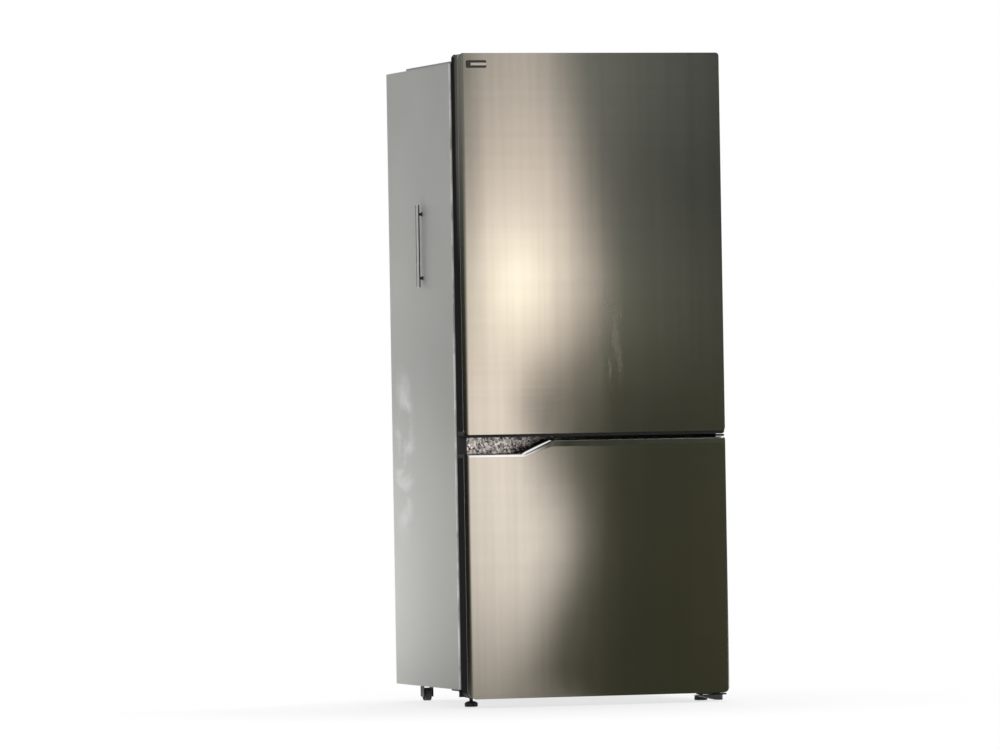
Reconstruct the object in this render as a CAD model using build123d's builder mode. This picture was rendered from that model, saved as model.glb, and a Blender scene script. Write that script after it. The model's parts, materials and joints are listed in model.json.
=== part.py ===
import os
from math import cos, radians, sin

from build123d import *

os.makedirs("parts", exist_ok=True)

# Two-door refrigerator with the freezer below. Millimetres; x to the right, y to the back, z up
# from the floor. Every piece hangs on the values below.

# Outside
cabinet_width = 748.0
cabinet_depth = 615.0
door_thickness = 71.0
seal_gap = 14.0
floor_gap = 24.0
lower_door_height = 700.0
door_seam = 8.0
upper_door_height = 1042.0
wall_inset = 24.0

# Sheet metal, plastic and clearances
sheet = 0.8
panel_bend = 5.0
board = 3.0
liner_sheet = 2.0
fit = 0.3
running = 0.05

# Insulation, measured to the inner face of the liners
wall_thickness = 50.0
ceiling_thickness = 60.0
floor_thickness = 58.0
back_thickness = 58.0

# Doors
door_edge = 14.0
skin_hem = 12.0
upper_corner = 14.0
lower_corner = 22.0
seam_corner = 14.0
upper_skin_lift = 8.0
pocket_step = 36.0
pocket_flat = 164.0
pocket_end = 243.0
trim_low = 10.0
trim_high = 19.0
trim_depth = 12.0
cap_height = 36.0
dyke_inset = 14.0
dyke_width = 16.0
upper_dyke = 36.0
lower_dyke = 14.0

# Seals
seal_width = 18.0
seal_lap = 6.0
seal_inset = 22.0
seal_rise = 14.0

# Hinges
pin_radius = 5.0
pin_bite = 16.0
pin_inset = 22.0
pin_setback = 42.0
hinge_plate = 4.0
hinge_arm = 28.0
arm_gap = 2.5
arm_half = 21.0
boss_width = 84.0
boss_depth = 36.0
boss_foot = 22.0
boss_clear = 3.0
knuckle_play = 1.0
knuckle_inset = 8.0

# Machine space at the lower back
machine_depth = 215.0
machine_height = 186.0
hump_wall = 50.0

# Shelves, drawers and bins
glass = 4.0
ledge = 9.0
bin_depth = 100.0
bin_height = 95.0
tub_wall = 2.5
crisper_height = 200.0
drawer_travel = 50.0
crisper_travel = 34.0

# Side rail on the left wall
rail_radius = 5.5
rail_gap = 6.5
rail_length = 228.0
rail_drop = 375.0
rail_setback = 288.0

# Derived positions
half_width = cabinet_width / 2
total_depth = door_thickness + seal_gap + cabinet_depth
door_front = -total_depth / 2
door_back = door_front + door_thickness
cabinet_front = door_back + seal_gap
cabinet_back = cabinet_front + cabinet_depth
lower_door_bottom = floor_gap
lower_door_top = lower_door_bottom + lower_door_height
upper_door_bottom = lower_door_top + door_seam
upper_door_top = upper_door_bottom + upper_door_height
cabinet_bottom = lower_door_bottom + wall_inset
cabinet_top = upper_door_top - wall_inset
seam_mid = (lower_door_top + upper_door_bottom) / 2
pocket_floor = lower_door_top - pocket_step

upper_seal_bottom = upper_door_bottom + seal_rise
upper_seal_top = cabinet_top - 8
lower_seal_top = pocket_floor - seal_lap
lower_seal_bottom = cabinet_bottom + 8
seal_half = half_width - seal_inset

cavity_half = half_width - wall_thickness
cavity_back = cabinet_back - back_thickness
fridge_floor = upper_seal_bottom + seal_width + seal_lap
fridge_ceiling = cabinet_top - ceiling_thickness
freezer_floor = cabinet_bottom + floor_thickness
freezer_ceiling = lower_seal_top - seal_width - seal_lap
front_flange = wall_thickness - liner_sheet - fit
flange_half = half_width - front_flange - fit
plate_half = half_width - sheet - fit
plate_front = cabinet_front + panel_bend
board_front = cabinet_back - sheet - board
board_half = half_width - panel_bend

machine_front = cabinet_back - machine_depth
machine_top = cabinet_bottom + machine_height
machine_mid = (machine_front + cabinet_back) / 2
hump_front = machine_front - hump_wall
hump_top = machine_top + hump_wall

hinge_x = half_width - pin_inset
hinge_y = door_front + pin_setback
notch_floor = cabinet_top - 6
notch_front = hinge_y - 26
notch_left = hinge_x - 40
skin_back = door_back - liner_sheet
cap_back = skin_back - sheet - fit
bore_radius = pin_radius + running

shelf_front = door_back + bin_depth + 16
shelf_back = cavity_back - 32
crisper_level = fridge_floor + crisper_height + 16
shelf_pitch = (fridge_ceiling - 30 - crisper_level) / 4
shelf_levels = [crisper_level + shelf_pitch * n for n in (1, 2, 3)]
crisper_front = door_back + bin_depth + 10 + crisper_travel + 14
drawer_front = door_back + lower_dyke + 4 + drawer_travel + 14
evaporator_front = cavity_back - 76
drawer_bases = [freezer_floor, hump_top + 16, hump_top + 16 + (freezer_ceiling - hump_top - 26) / 2]
bin_bases = [fridge_floor + 34, fridge_floor + 345, fridge_floor + 620]


def upright(y):
    """The upright plane at depth y as seen from the front, x to the right and z up."""
    return Plane.XZ.offset(-y)


def finish(piece, name):
    piece.part.label = name
    export_step(piece.part, f"parts/{name}.step")


# Side panels: one bent sheet each, with the front flange that the seals close on.
with BuildPart() as left_side_panel:
    with BuildSketch(Plane.XY.offset(cabinet_bottom)):
        with BuildLine():
            FilletPolyline(
                (-half_width + front_flange, cabinet_front),
                (-half_width, cabinet_front),
                (-half_width, cabinet_back),
                (-half_width + 16, cabinet_back),
                radius=panel_bend,
            )
            offset(amount=sheet, side=Side.RIGHT)
        make_face()
    extrude(amount=cabinet_top - cabinet_bottom)
finish(left_side_panel, "left_side_panel")

with BuildPart() as right_side_panel:
    mirror(left_side_panel.part, about=Plane.YZ)
finish(right_side_panel, "right_side_panel")

# Top panel with its front flange between the side flanges.
with BuildPart() as top_panel:
    with BuildSketch(Plane.XY.offset(cabinet_top - sheet)):
        with Locations((0, (plate_front + board_front - fit) / 2)):
            Rectangle(2 * plate_half, board_front - fit - plate_front)
        with Locations((0, (cabinet_front + plate_front) / 2)):
            Rectangle(2 * flange_half, plate_front - cabinet_front)
    extrude(amount=sheet)
    top_flange = ceiling_thickness - liner_sheet - fit
    with BuildSketch(upright(cabinet_front)):
        with Locations((0, cabinet_top - top_flange / 2)):
            Rectangle(2 * flange_half, top_flange)
    extrude(amount=-sheet)
finish(top_panel, "top_panel")

# Back panel: a laminated board with pressed grooves.
with BuildPart() as back_panel:
    back_mid = (machine_top + cabinet_top) / 2
    with BuildSketch(upright(board_front)):
        with Locations((0, back_mid)):
            Rectangle(2 * board_half, cabinet_top - machine_top)
    extrude(amount=-board)
    with BuildSketch(upright(board_front + board)):
        with Locations((0, back_mid)):
            with GridLocations(cabinet_width / 7, 0, 6, 1):
                SlotOverall((cabinet_top - machine_top) * 0.86, 26, rotation=90)
    extrude(amount=1.4, mode=Mode.SUBTRACT)
finish(back_panel, "back_panel")

# Base pan: floor of the cabinet, stepping up over the machine space.
with BuildPart() as base_pan:
    with BuildSketch(Plane.YZ):
        with BuildLine():
            FilletPolyline(
                (plate_front, cabinet_bottom),
                (machine_front, cabinet_bottom),
                (machine_front, machine_top),
                (board_front - fit, machine_top),
                radius=1.8,
            )
            offset(amount=sheet, side=Side.LEFT)
        make_face()
    extrude(amount=plate_half, both=True)
    with BuildSketch(Plane.YZ):
        with BuildLine():
            Polyline(
                (cabinet_front, freezer_floor - liner_sheet - fit),
                (cabinet_front, cabinet_bottom),
                (plate_front, cabinet_bottom),
                (plate_front, cabinet_bottom + sheet),
                (cabinet_front + sheet, cabinet_bottom + sheet),
                (cabinet_front + sheet, freezer_floor - liner_sheet - fit),
                close=True,
            )
        make_face()
    extrude(amount=flange_half, both=True)
finish(base_pan, "base_pan")

# Divider plate: zinc-coated strip between the two openings, seen through the handle pocket.
with BuildPart() as divider_plate:
    with BuildSketch(upright(cabinet_front)):
        with Locations((0, (fridge_floor + freezer_ceiling) / 2)):
            Rectangle(2 * flange_half, fridge_floor - freezer_ceiling - 2 * liner_sheet - 2 * fit)
    extrude(amount=-sheet)
    strip_left = -half_width + 31
    strip_right = hinge_x - 52
    with BuildSketch(upright(cabinet_front - 1)):
        with Locations(((strip_left + strip_right) / 2, (lower_seal_top + upper_seal_bottom) / 2)):
            RectangleRounded(strip_right - strip_left, upper_seal_bottom - lower_seal_top - 4, 5)
    extrude(amount=-1)
finish(divider_plate, "divider_plate")

# Cabinet foam: fills the space between the panels and the liners.
with BuildPart() as cabinet_foam:
    foam_low = cabinet_bottom + sheet + fit
    foam_high = cabinet_top - sheet - fit
    foam_step = machine_front - sheet - fit
    foam_over = machine_top + sheet + fit
    with BuildSketch(Plane.YZ):
        with BuildLine():
            Polyline(
                (plate_front, foam_low),
                (foam_step, foam_low),
                (foam_step, foam_over),
                (board_front - fit, foam_over),
                (board_front - fit, foam_high),
                (plate_front, foam_high),
                close=True,
            )
        make_face()
    extrude(amount=plate_half, both=True)
    skin_gap = liner_sheet + fit
    with BuildSketch(Plane.YZ):
        with BuildLine():
            Polyline(
                (plate_front, fridge_floor - skin_gap),
                (cavity_back + skin_gap, fridge_floor - skin_gap),
                (cavity_back + skin_gap, fridge_ceiling + skin_gap),
                (plate_front, fridge_ceiling + skin_gap),
                close=True,
            )
        make_face()
        with BuildLine():
            Polyline(
                (plate_front, freezer_floor - skin_gap),
                (hump_front + skin_gap, freezer_floor - skin_gap),
                (hump_front + skin_gap, hump_top - skin_gap),
                (cavity_back + skin_gap, hump_top - skin_gap),
                (cavity_back + skin_gap, freezer_ceiling + skin_gap),
                (plate_front, freezer_ceiling + skin_gap),
                close=True,
            )
        make_face()
    extrude(amount=cavity_half + skin_gap, both=True, mode=Mode.SUBTRACT)
finish(cabinet_foam, "cabinet_foam")

# Refrigerator liner: a drawn plastic box with shelf ledges on its side walls.
with BuildPart() as fridge_liner:
    liner_mid = (fridge_floor + fridge_ceiling) / 2
    with BuildSketch(upright(cabinet_front)):
        with Locations((0, liner_mid)):
            RectangleRounded(
                2 * (cavity_half + liner_sheet),
                fridge_ceiling - fridge_floor + 2 * liner_sheet,
                16,
            )
    extrude(amount=-(cavity_back + liner_sheet - cabinet_front))
    fillet(fridge_liner.faces().sort_by(Axis.Y)[-1].edges(), radius=12)
    offset(amount=-liner_sheet, openings=fridge_liner.faces().sort_by(Axis.Y)[0])
    for side in (-1, 1):
        for level in shelf_levels + [crisper_level]:
            with BuildSketch(upright(shelf_front + 28)):
                with BuildLine():
                    Polyline(
                        (side * (cavity_half + liner_sheet / 2), level),
                        (side * (cavity_half - ledge), level),
                        (side * (cavity_half - ledge), level - 4),
                        (side * (cavity_half + liner_sheet / 2), level - 12),
                        close=True,
                    )
                make_face()
            extrude(amount=-(shelf_back - shelf_front - 56))
finish(fridge_liner, "fridge_liner")

# Freezer liner: steps up at the back over the machine space, with ledges for the two upper drawers.
with BuildPart() as freezer_liner:
    with BuildSketch(Plane.YZ):
        with BuildLine():
            FilletPolyline(
                (cabinet_front, freezer_floor - liner_sheet),
                (hump_front + liner_sheet, freezer_floor - liner_sheet),
                (hump_front + liner_sheet, hump_top - liner_sheet),
                (cavity_back + liner_sheet, hump_top - liner_sheet),
                (cavity_back + liner_sheet, freezer_ceiling + liner_sheet),
                (cabinet_front, freezer_ceiling + liner_sheet),
                radius=[0, 8, 0, 8, 8, 0],
                close=True,
            )
        make_face()
    extrude(amount=cavity_half + liner_sheet, both=True)
    offset(amount=-liner_sheet, openings=freezer_liner.faces().sort_by(Axis.Y)[0])
    for side in (-1, 1):
        for level in drawer_bases[1:]:
            with BuildSketch(upright(drawer_front + 20)):
                with BuildLine():
                    Polyline(
                        (side * (cavity_half + liner_sheet / 2), level),
                        (side * (cavity_half - ledge - 3), level),
                        (side * (cavity_half - ledge - 3), level - 4),
                        (side * (cavity_half + liner_sheet / 2), level - 12),
                        close=True,
                    )
                make_face()
            extrude(amount=-(evaporator_front - 20 - drawer_front - 20))
finish(freezer_liner, "freezer_liner")

# Top cover over the wiring, with a raised box for the control board.
with BuildPart() as top_cover:
    cover_back = cabinet_front + cabinet_depth * 0.71
    cover_front = cabinet_front + 8
    with BuildSketch(Plane.XY.offset(cabinet_top)):
        with Locations((0, (cover_front + cover_back) / 2)):
            RectangleRounded(cabinet_width - 8, cover_back - cover_front, 10)
    extrude(amount=6)
    with BuildSketch(Plane.XY.offset(cabinet_top + 6)):
        with Locations((0, cover_back - 110)):
            RectangleRounded(cabinet_width * 0.42, 170, 16)
    extrude(amount=10, taper=12)
    fillet(top_cover.edges().filter_by(GeomType.LINE).group_by(Axis.Z)[-1], radius=2)
    with BuildSketch(Plane.XY.offset(cabinet_top)):
        with Locations((half_width, cabinet_front + 50)):
            Rectangle(2 * (half_width - hinge_x + 54), 120)
    extrude(amount=20, mode=Mode.SUBTRACT)
finish(top_cover, "top_cover")

# Top hinge: a flat plate on the cabinet top with an arm over the door and a pin down into it.
hinge_left = hinge_x - 44
hinge_right = hinge_x + 14
hinge_rear = cabinet_front + 92
top_screws = [(hinge_x - 32, cabinet_front + 30), (hinge_x - 32, cabinet_front + 76), (hinge_x, cabinet_front + 76)]
with BuildPart() as top_hinge:
    with BuildSketch(Plane.XY.offset(cabinet_top)):
        with BuildLine():
            FilletPolyline(
                (hinge_x - hinge_arm / 2, hinge_y),
                (hinge_x - hinge_arm / 2, cabinet_front + 8),
                (hinge_left, cabinet_front + 8),
                (hinge_left, hinge_rear),
                (hinge_right, hinge_rear),
                (hinge_right, hinge_y),
                radius=[4, 4, 6, 6],
            )
            Line((hinge_right, hinge_y), (hinge_x - hinge_arm / 2, hinge_y))
        make_face()
        with Locations((hinge_x, hinge_y)):
            Circle(hinge_arm / 2)
        with Locations(*top_screws):
            Circle(2.7, mode=Mode.SUBTRACT)
    extrude(amount=hinge_plate)
    with BuildSketch(Plane.XY.offset(cabinet_top)):
        with Locations((hinge_x, hinge_y)):
            Circle(pin_radius)
    extrude(amount=-(cabinet_top - notch_floor + pin_bite))
finish(top_hinge, "top_hinge")

# Hinge cover: a plastic shell over the plate, open below and slotted for the arm.
with BuildPart() as top_hinge_cover:
    shell_front = door_back + 4
    shell_back = hinge_rear + 6
    shell_left = hinge_left - 6
    shell_right = half_width - 3
    with BuildSketch(Plane.XY.offset(cabinet_top)):
        with Locations(((shell_left + shell_right) / 2, (shell_front + shell_back) / 2)):
            RectangleRounded(shell_right - shell_left, shell_back - shell_front, 8)
    extrude(amount=wall_inset - 3)
    fillet(top_hinge_cover.faces().sort_by(Axis.Z)[-1].edges(), radius=4)
    with BuildSketch(Plane.XY.offset(cabinet_top)):
        with Locations(((shell_left + shell_right) / 2, (shell_front + shell_back) / 2)):
            RectangleRounded(shell_right - shell_left - 4, shell_back - shell_front - 4, 6)
    extrude(amount=wall_inset - 5, mode=Mode.SUBTRACT)
    with BuildSketch(Plane.XY.offset(cabinet_top)):
        with Locations((hinge_x, shell_front)):
            Rectangle(hinge_arm + 2, 20)
    extrude(amount=hinge_plate + fit, mode=Mode.SUBTRACT)
finish(top_hinge_cover, "top_hinge_cover")

# Middle hinge: a plate in the seam with pins up and down, a thicker knuckle round the pins that fills the
# open end of the seam, and a flange on the cabinet front.
knuckle = door_seam - 2 * knuckle_play
knuckle_front = door_front + knuckle_inset
flange_low = lower_seal_top + 3
flange_high = upper_seal_bottom - 3
middle_screws = [(hinge_x - 33, seam_mid - 24), (hinge_x - 33, seam_mid + 11)]
with BuildPart() as middle_hinge:
    with BuildSketch(Plane.XY.offset(seam_mid - hinge_plate / 2)):
        with BuildLine():
            FilletPolyline(
                (hinge_x - hinge_arm / 2, cabinet_front),
                (hinge_x - hinge_arm / 2, hinge_y - hinge_arm / 2),
                (half_width - 2, hinge_y - hinge_arm / 2),
                (half_width - 2, cabinet_front),
                radius=[0, hinge_arm / 2 - 1, 6, 0],
                close=True,
            )
        make_face()
    extrude(amount=hinge_plate)
    with BuildSketch(Plane.XY.offset(seam_mid - knuckle / 2)):
        with BuildLine():
            FilletPolyline(
                (hinge_x - hinge_arm / 2, hinge_y + hinge_arm / 2),
                (hinge_x - hinge_arm / 2, hinge_y - hinge_arm / 2),
                (hinge_x, knuckle_front),
                (half_width - 2, knuckle_front),
                (half_width - 2, hinge_y + hinge_arm / 2),
                radius=[6, 6, 8, 8, 6],
                close=True,
            )
        make_face()
    extrude(amount=knuckle)
    with BuildSketch(upright(cabinet_front - 3)):
        with Locations(((hinge_left + hinge_right) / 2, (flange_low + flange_high) / 2)):
            RectangleRounded(hinge_right - hinge_left, flange_high - flange_low, 5)
        with Locations(*middle_screws):
            Circle(2.7, mode=Mode.SUBTRACT)
    extrude(amount=-3)
    with BuildSketch(Plane.XY.offset(lower_door_top - pin_bite)):
        with Locations((hinge_x, hinge_y)):
            Circle(pin_radius)
    extrude(amount=door_seam + 2 * pin_bite)
finish(middle_hinge, "middle_hinge")

# Bottom hinge: a stepped bracket under the cabinet with a pin up into the lower door and a boss below it.
arm_base = lower_door_bottom - arm_gap - hinge_plate
foot_y = cabinet_front + 42
foot_x = half_width - 44
foot_stem = 5.0
bracket_left = foot_x - 24
bracket_right = hinge_x + arm_half
bracket_mid = (bracket_left + bracket_right) / 2
bracket_half = (bracket_right - bracket_left) / 2
bottom_screws = [(foot_x - 12, cabinet_front + 68), (foot_x + 12, cabinet_front + 68)]
with BuildPart() as bottom_hinge:
    with BuildSketch(Plane.YZ.offset(bracket_mid)):
        with BuildLine():
            FilletPolyline(
                (hinge_y - arm_half, arm_base),
                (cabinet_front + 12, arm_base),
                (cabinet_front + 12, cabinet_bottom - hinge_plate),
                (cabinet_front + 82, cabinet_bottom - hinge_plate),
                radius=5,
            )
            offset(amount=hinge_plate, side=Side.LEFT)
        make_face()
    extrude(amount=bracket_half, both=True)
    with BuildSketch():
        with BuildLine():
            FilletPolyline(
                (bracket_left, cabinet_front + 82),
                (bracket_left, cabinet_front + 6),
                (hinge_x - arm_half, door_back),
                (hinge_x - arm_half, hinge_y - arm_half),
                (bracket_right, hinge_y - arm_half),
                (bracket_right, cabinet_front + 82),
                radius=[6, 6, 10, 16, 16, 6],
                close=True,
            )
        make_face()
    extrude(amount=cabinet_bottom + hinge_plate, mode=Mode.INTERSECT)
    with BuildSketch(Plane.XY.offset(arm_base + hinge_plate)):
        with Locations((hinge_x, hinge_y)):
            Circle(pin_radius)
    extrude(amount=lower_door_bottom + pin_bite - arm_base - hinge_plate)
    with BuildSketch(Plane.XY.offset(cabinet_bottom - hinge_plate)):
        with Locations((foot_x, foot_y)):
            Circle(foot_stem + 0.08)
        with Locations(*bottom_screws):
            Circle(2.7)
    extrude(amount=hinge_plate, mode=Mode.SUBTRACT)
    with BuildSketch(Plane.XY.offset(arm_base)):
        with Locations((hinge_x + boss_foot / 2 - boss_width / 2, hinge_y)):
            RectangleRounded(boss_width, boss_depth, 16)
    with BuildSketch(Plane.XY.offset(boss_clear)):
        with Locations((hinge_x, hinge_y)):
            RectangleRounded(boss_foot, boss_foot, boss_foot / 2 - 2)
    loft()
finish(bottom_hinge, "bottom_hinge")

left_screws = [(-x, y) for x, y in bottom_screws]


def screw_at(seat, reach):
    """A pan-head screw: the seat plane carries the head, the shank runs back through the plate."""
    with BuildSketch(seat) as head:
        Circle(4.5)
    extrude(head.sketch, amount=1.8)
    with BuildSketch(seat) as shank:
        Circle(2.5)
    extrude(shank.sketch, amount=-reach)


with BuildPart() as hinge_screws:
    for x, y in top_screws:
        screw_at(Plane((x, y, cabinet_top + hinge_plate)), hinge_plate)
    for x, z in middle_screws:
        screw_at(Plane((x, cabinet_front - 3, z), x_dir=(1, 0, 0), z_dir=(0, -1, 0)), 3)
    for x, y in bottom_screws + left_screws:
        under = Plane((x, y, cabinet_bottom - hinge_plate), x_dir=(1, 0, 0), z_dir=(0, 0, -1))
        screw_at(under, hinge_plate)
finish(hinge_screws, "hinge_screws")


def front_foot(x):
    """A levelling foot: ribbed round base under a threaded stem."""
    with BuildPart() as foot:
        with BuildSketch(Plane.XZ.offset(-foot_y)):
            with BuildLine():
                Polyline(
                    (x, 0),
                    (x + 16, 0),
                    (x + 18, 2),
                    (x + 18, 10),
                    (x + 14, 13),
                    (x + 9, 15),
                    (x + foot_stem, 15),
                    (x + foot_stem, cabinet_bottom - fit),
                    (x, cabinet_bottom - fit),
                    close=True,
                )
            make_face()
        revolve(axis=Axis((x, foot_y, 0), (0, 0, 1)))
        with BuildSketch(Plane.XY.offset(3)):
            with Locations((x, foot_y)):
                with PolarLocations(18, 8):
                    Circle(2.2)
        extrude(amount=6.5, mode=Mode.SUBTRACT)
    return foot


left_foot = front_foot(-foot_x)
finish(left_foot, "left_foot")
right_foot = front_foot(foot_x)
finish(right_foot, "right_foot")

# Compressor tray with upturned lips, spanning the machine space.
tray_sheet = 1.5
tray_top = cabinet_bottom + tray_sheet
with BuildPart() as compressor_tray:
    with BuildSketch(Plane.YZ):
        with BuildLine():
            FilletPolyline(
                (machine_front + 4, cabinet_bottom + 16),
                (machine_front + 4, cabinet_bottom),
                (cabinet_back - 8, cabinet_bottom),
                (cabinet_back - 8, cabinet_bottom + 16),
                radius=3,
            )
            offset(amount=tray_sheet, side=Side.LEFT)
        make_face()
    extrude(amount=plate_half, both=True)
finish(compressor_tray, "compressor_tray")

# Brackets under the base: a stepped one for the left foot and two channels with the roller axles.
roller_radius = 18.0
roller_half = 10.0
roller_x = half_width - 74
roller_y = cabinet_back - 52
axle_radius = 4.0
with BuildPart() as base_brackets:
    with BuildSketch(Plane.YZ.offset(-bracket_mid)):
        with BuildLine():
            FilletPolyline(
                (cabinet_front + 12, cabinet_bottom - 20),
                (cabinet_front + 12, cabinet_bottom - hinge_plate),
                (cabinet_front + 82, cabinet_bottom - hinge_plate),
                radius=5,
            )
            offset(amount=hinge_plate, side=Side.LEFT)
        make_face()
    extrude(amount=bracket_half, both=True)
    with BuildSketch(Plane.XY.offset(cabinet_bottom - hinge_plate)):
        with Locations((-foot_x, foot_y)):
            Circle(foot_stem + 0.08)
        with Locations(*left_screws):
            Circle(2.7)
    extrude(amount=hinge_plate, mode=Mode.SUBTRACT)
    for x in (-roller_x, roller_x):
        with BuildSketch(upright(roller_y - 16)):
            with BuildLine():
                FilletPolyline(
                    (x - roller_half - 4, roller_radius - 7),
                    (x - roller_half - 4, cabinet_bottom),
                    (x + roller_half + 4, cabinet_bottom),
                    (x + roller_half + 4, roller_radius - 7),
                    radius=3,
                )
                offset(amount=2, side=Side.RIGHT)
            make_face()
        extrude(amount=-32)
        with BuildSketch(Plane.YZ.offset(x)):
            with Locations((roller_y, roller_radius)):
                Circle(axle_radius)
        extrude(amount=roller_half + 4, both=True)
finish(base_brackets, "base_brackets")


def rear_roller(x):
    """A wheel with a dished rim, bored to run on its axle."""
    with BuildPart() as wheel:
        with BuildSketch(Plane.XY):
            with BuildLine():
                Polyline(
                    (x - roller_half, roller_y + axle_radius + running),
                    (x + roller_half, roller_y + axle_radius + running),
                    (x + roller_half, roller_y + 8),
                    (x + roller_half - 4, roller_y + 9),
                    (x + roller_half - 4, roller_y + 13),
                    (x + roller_half - 1, roller_y + 14),
                    (x + roller_half - 1, roller_y + roller_radius),
                    (x - roller_half + 1, roller_y + roller_radius),
                    (x - roller_half + 1, roller_y + 14),
                    (x - roller_half + 4, roller_y + 13),
                    (x - roller_half + 4, roller_y + 9),
                    (x - roller_half, roller_y + 8),
                    close=True,
                )
            make_face()
        revolve(axis=Axis((0, roller_y, 0), (1, 0, 0)))
    wheel.part = Pos(0, 0, roller_radius) * wheel.part
    return wheel


left_roller = rear_roller(-roller_x)
finish(left_roller, "left_roller")
right_roller = rear_roller(roller_x)
finish(right_roller, "right_roller")

# Compressor: a welded pot with a domed lid on a foot plate, its terminal box and three stubs.
compressor_x = -half_width * 0.42
pot_radius = 68.0
mount_height = 12.0
foot_plate = tray_top + mount_height
pot_top = machine_top - 24
mount_spots = [(compressor_x + dx, machine_mid + dy) for dx in (-82, 82) for dy in (-46, 46)]
stub_x = compressor_x + pot_radius * 0.8
with BuildPart() as compressor:
    with BuildSketch(Plane.XY.offset(foot_plate)):
        with Locations((compressor_x, machine_mid)):
            RectangleRounded(190, 116, 12)
        with Locations(*mount_spots):
            Circle(5.1, mode=Mode.SUBTRACT)
    extrude(amount=3)
    with BuildSketch(Plane.XZ.offset(-machine_mid)):
        with BuildLine():
            FilletPolyline(
                (compressor_x, foot_plate + 2),
                (compressor_x + pot_radius - 8, foot_plate + 2),
                (compressor_x + pot_radius - 8, foot_plate + 40),
                (compressor_x + pot_radius, foot_plate + 44),
                (compressor_x + pot_radius, foot_plate + 52),
                (compressor_x + pot_radius - 6, foot_plate + 56),
                (compressor_x + pot_radius - 6, pot_top - 30),
                (compressor_x + 26, pot_top),
                (compressor_x, pot_top),
                radius=[14, 2, 2, 2, 2, 24, 12],
            )
            Line((compressor_x, pot_top), (compressor_x, foot_plate + 2))
        make_face()
    revolve(axis=Axis((compressor_x, machine_mid, 0), (0, 0, 1)))
    with BuildSketch(upright(machine_mid + pot_radius - 14)):
        with Locations((compressor_x, foot_plate + 84)):
            RectangleRounded(58, 46, 6)
    extrude(amount=-32)
    for z in (foot_plate + 70, foot_plate + 92):
        with BuildSketch(Plane.YZ.offset(compressor_x + pot_radius - 20)):
            with Locations((machine_mid - 10, z)):
                Circle(5)
        extrude(amount=36)
finish(compressor, "compressor")

with BuildPart() as compressor_mounts:
    for x, y in mount_spots:
        with BuildSketch(Plane.XZ.offset(-y)):
            with BuildLine():
                Polyline(
                    (x, tray_top),
                    (x + 13, tray_top),
                    (x + 13, tray_top + 4),
                    (x + 9, tray_top + 6),
                    (x + 12, foot_plate),
                    (x + 4.8, foot_plate),
                    (x + 4.8, foot_plate + 6),
                    (x, foot_plate + 6),
                    close=True,
                )
            make_face()
        revolve(axis=Axis((x, y, 0), (0, 0, 1)))
finish(compressor_mounts, "compressor_mounts")

# Condenser: plate fins on a bank of tubes between two end plates that stand on the tray.
condenser_left = half_width * 0.16
condenser_right = half_width * 0.8
condenser_low = cabinet_bottom + 62
condenser_high = machine_top - 22
condenser_front = machine_mid - 52
condenser_rear = machine_mid + 52
fin_count = 16
fin_pitch = (condenser_right - condenser_left - 12) / (fin_count - 1)
tube_spots = [(machine_mid + dy, (condenser_low + condenser_high) / 2 + dz) for dy in (-34, 0, 34) for dz in (-28, 28)]
with BuildPart() as condenser:
    for n in range(fin_count):
        with BuildSketch(Plane.YZ.offset(condenser_left + 6 + n * fin_pitch)):
            with Locations((machine_mid, (condenser_low + condenser_high) / 2)):
                Rectangle(condenser_rear - condenser_front, condenser_high - condenser_low)
        extrude(amount=0.4, both=True)
    for y, z in tube_spots:
        with BuildSketch(Plane.YZ.offset(condenser_left - 8)):
            with Locations((y, z)):
                RegularPolygon(5, 10)
        extrude(amount=condenser_right - condenser_left + 16)
    for x in (condenser_left, condenser_right - 1.5):
        with BuildSketch(Plane.YZ.offset(x)):
            with Locations((machine_mid, (tray_top + condenser_high) / 2)):
                Rectangle(condenser_rear - condenser_front, condenser_high - tray_top)
        extrude(amount=1.5)
finish(condenser, "condenser")

# Drain pan under the condenser fins.
with BuildPart() as drain_pan:
    with BuildSketch(Plane.XY.offset(condenser_low - 14)):
        with Locations(((condenser_left + condenser_right) / 2, machine_mid)):
            RectangleRounded(condenser_right - condenser_left - 12, 140, 14)
    extrude(amount=-(condenser_low - 14 - tray_top), taper=4)
    with BuildSketch(Plane.XY.offset(condenser_low - 14)):
        with Locations(((condenser_left + condenser_right) / 2, machine_mid)):
            RectangleRounded(condenser_right - condenser_left - 16, 136, 12)
    extrude(amount=-(condenser_low - 16 - tray_top), taper=4, mode=Mode.SUBTRACT)
finish(drain_pan, "drain_pan")

# Refrigerant pipes: discharge to the condenser and suction up to the machine space ceiling.
pipe_radius = 4.0
stub_end = compressor_x + pot_radius + 16 + fit
pipe_y = machine_mid - 10
with BuildPart() as refrigerant_pipes:
    with BuildLine() as discharge:
        FilletPolyline(
            (stub_end, pipe_y, foot_plate + 70),
            (stub_end + 40, pipe_y, foot_plate + 70),
            (stub_end + 40, tube_spots[0][0], tube_spots[0][1]),
            (condenser_left - 8 - fit, tube_spots[0][0], tube_spots[0][1]),
            radius=10,
        )
    with BuildSketch(Plane((stub_end, pipe_y, foot_plate + 70), z_dir=(1, 0, 0))):
        RegularPolygon(pipe_radius, 12)
    sweep(path=discharge.line)
    with BuildLine() as suction:
        FilletPolyline(
            (stub_end, pipe_y, foot_plate + 92),
            (stub_end + 16, pipe_y, foot_plate + 92),
            (stub_end + 16, pipe_y, machine_top - fit),
            radius=8,
        )
    with BuildSketch(Plane((stub_end, pipe_y, foot_plate + 92), z_dir=(1, 0, 0))):
        RegularPolygon(pipe_radius, 12)
    sweep(path=suction.line)
finish(refrigerant_pipes, "refrigerant_pipes")

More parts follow.
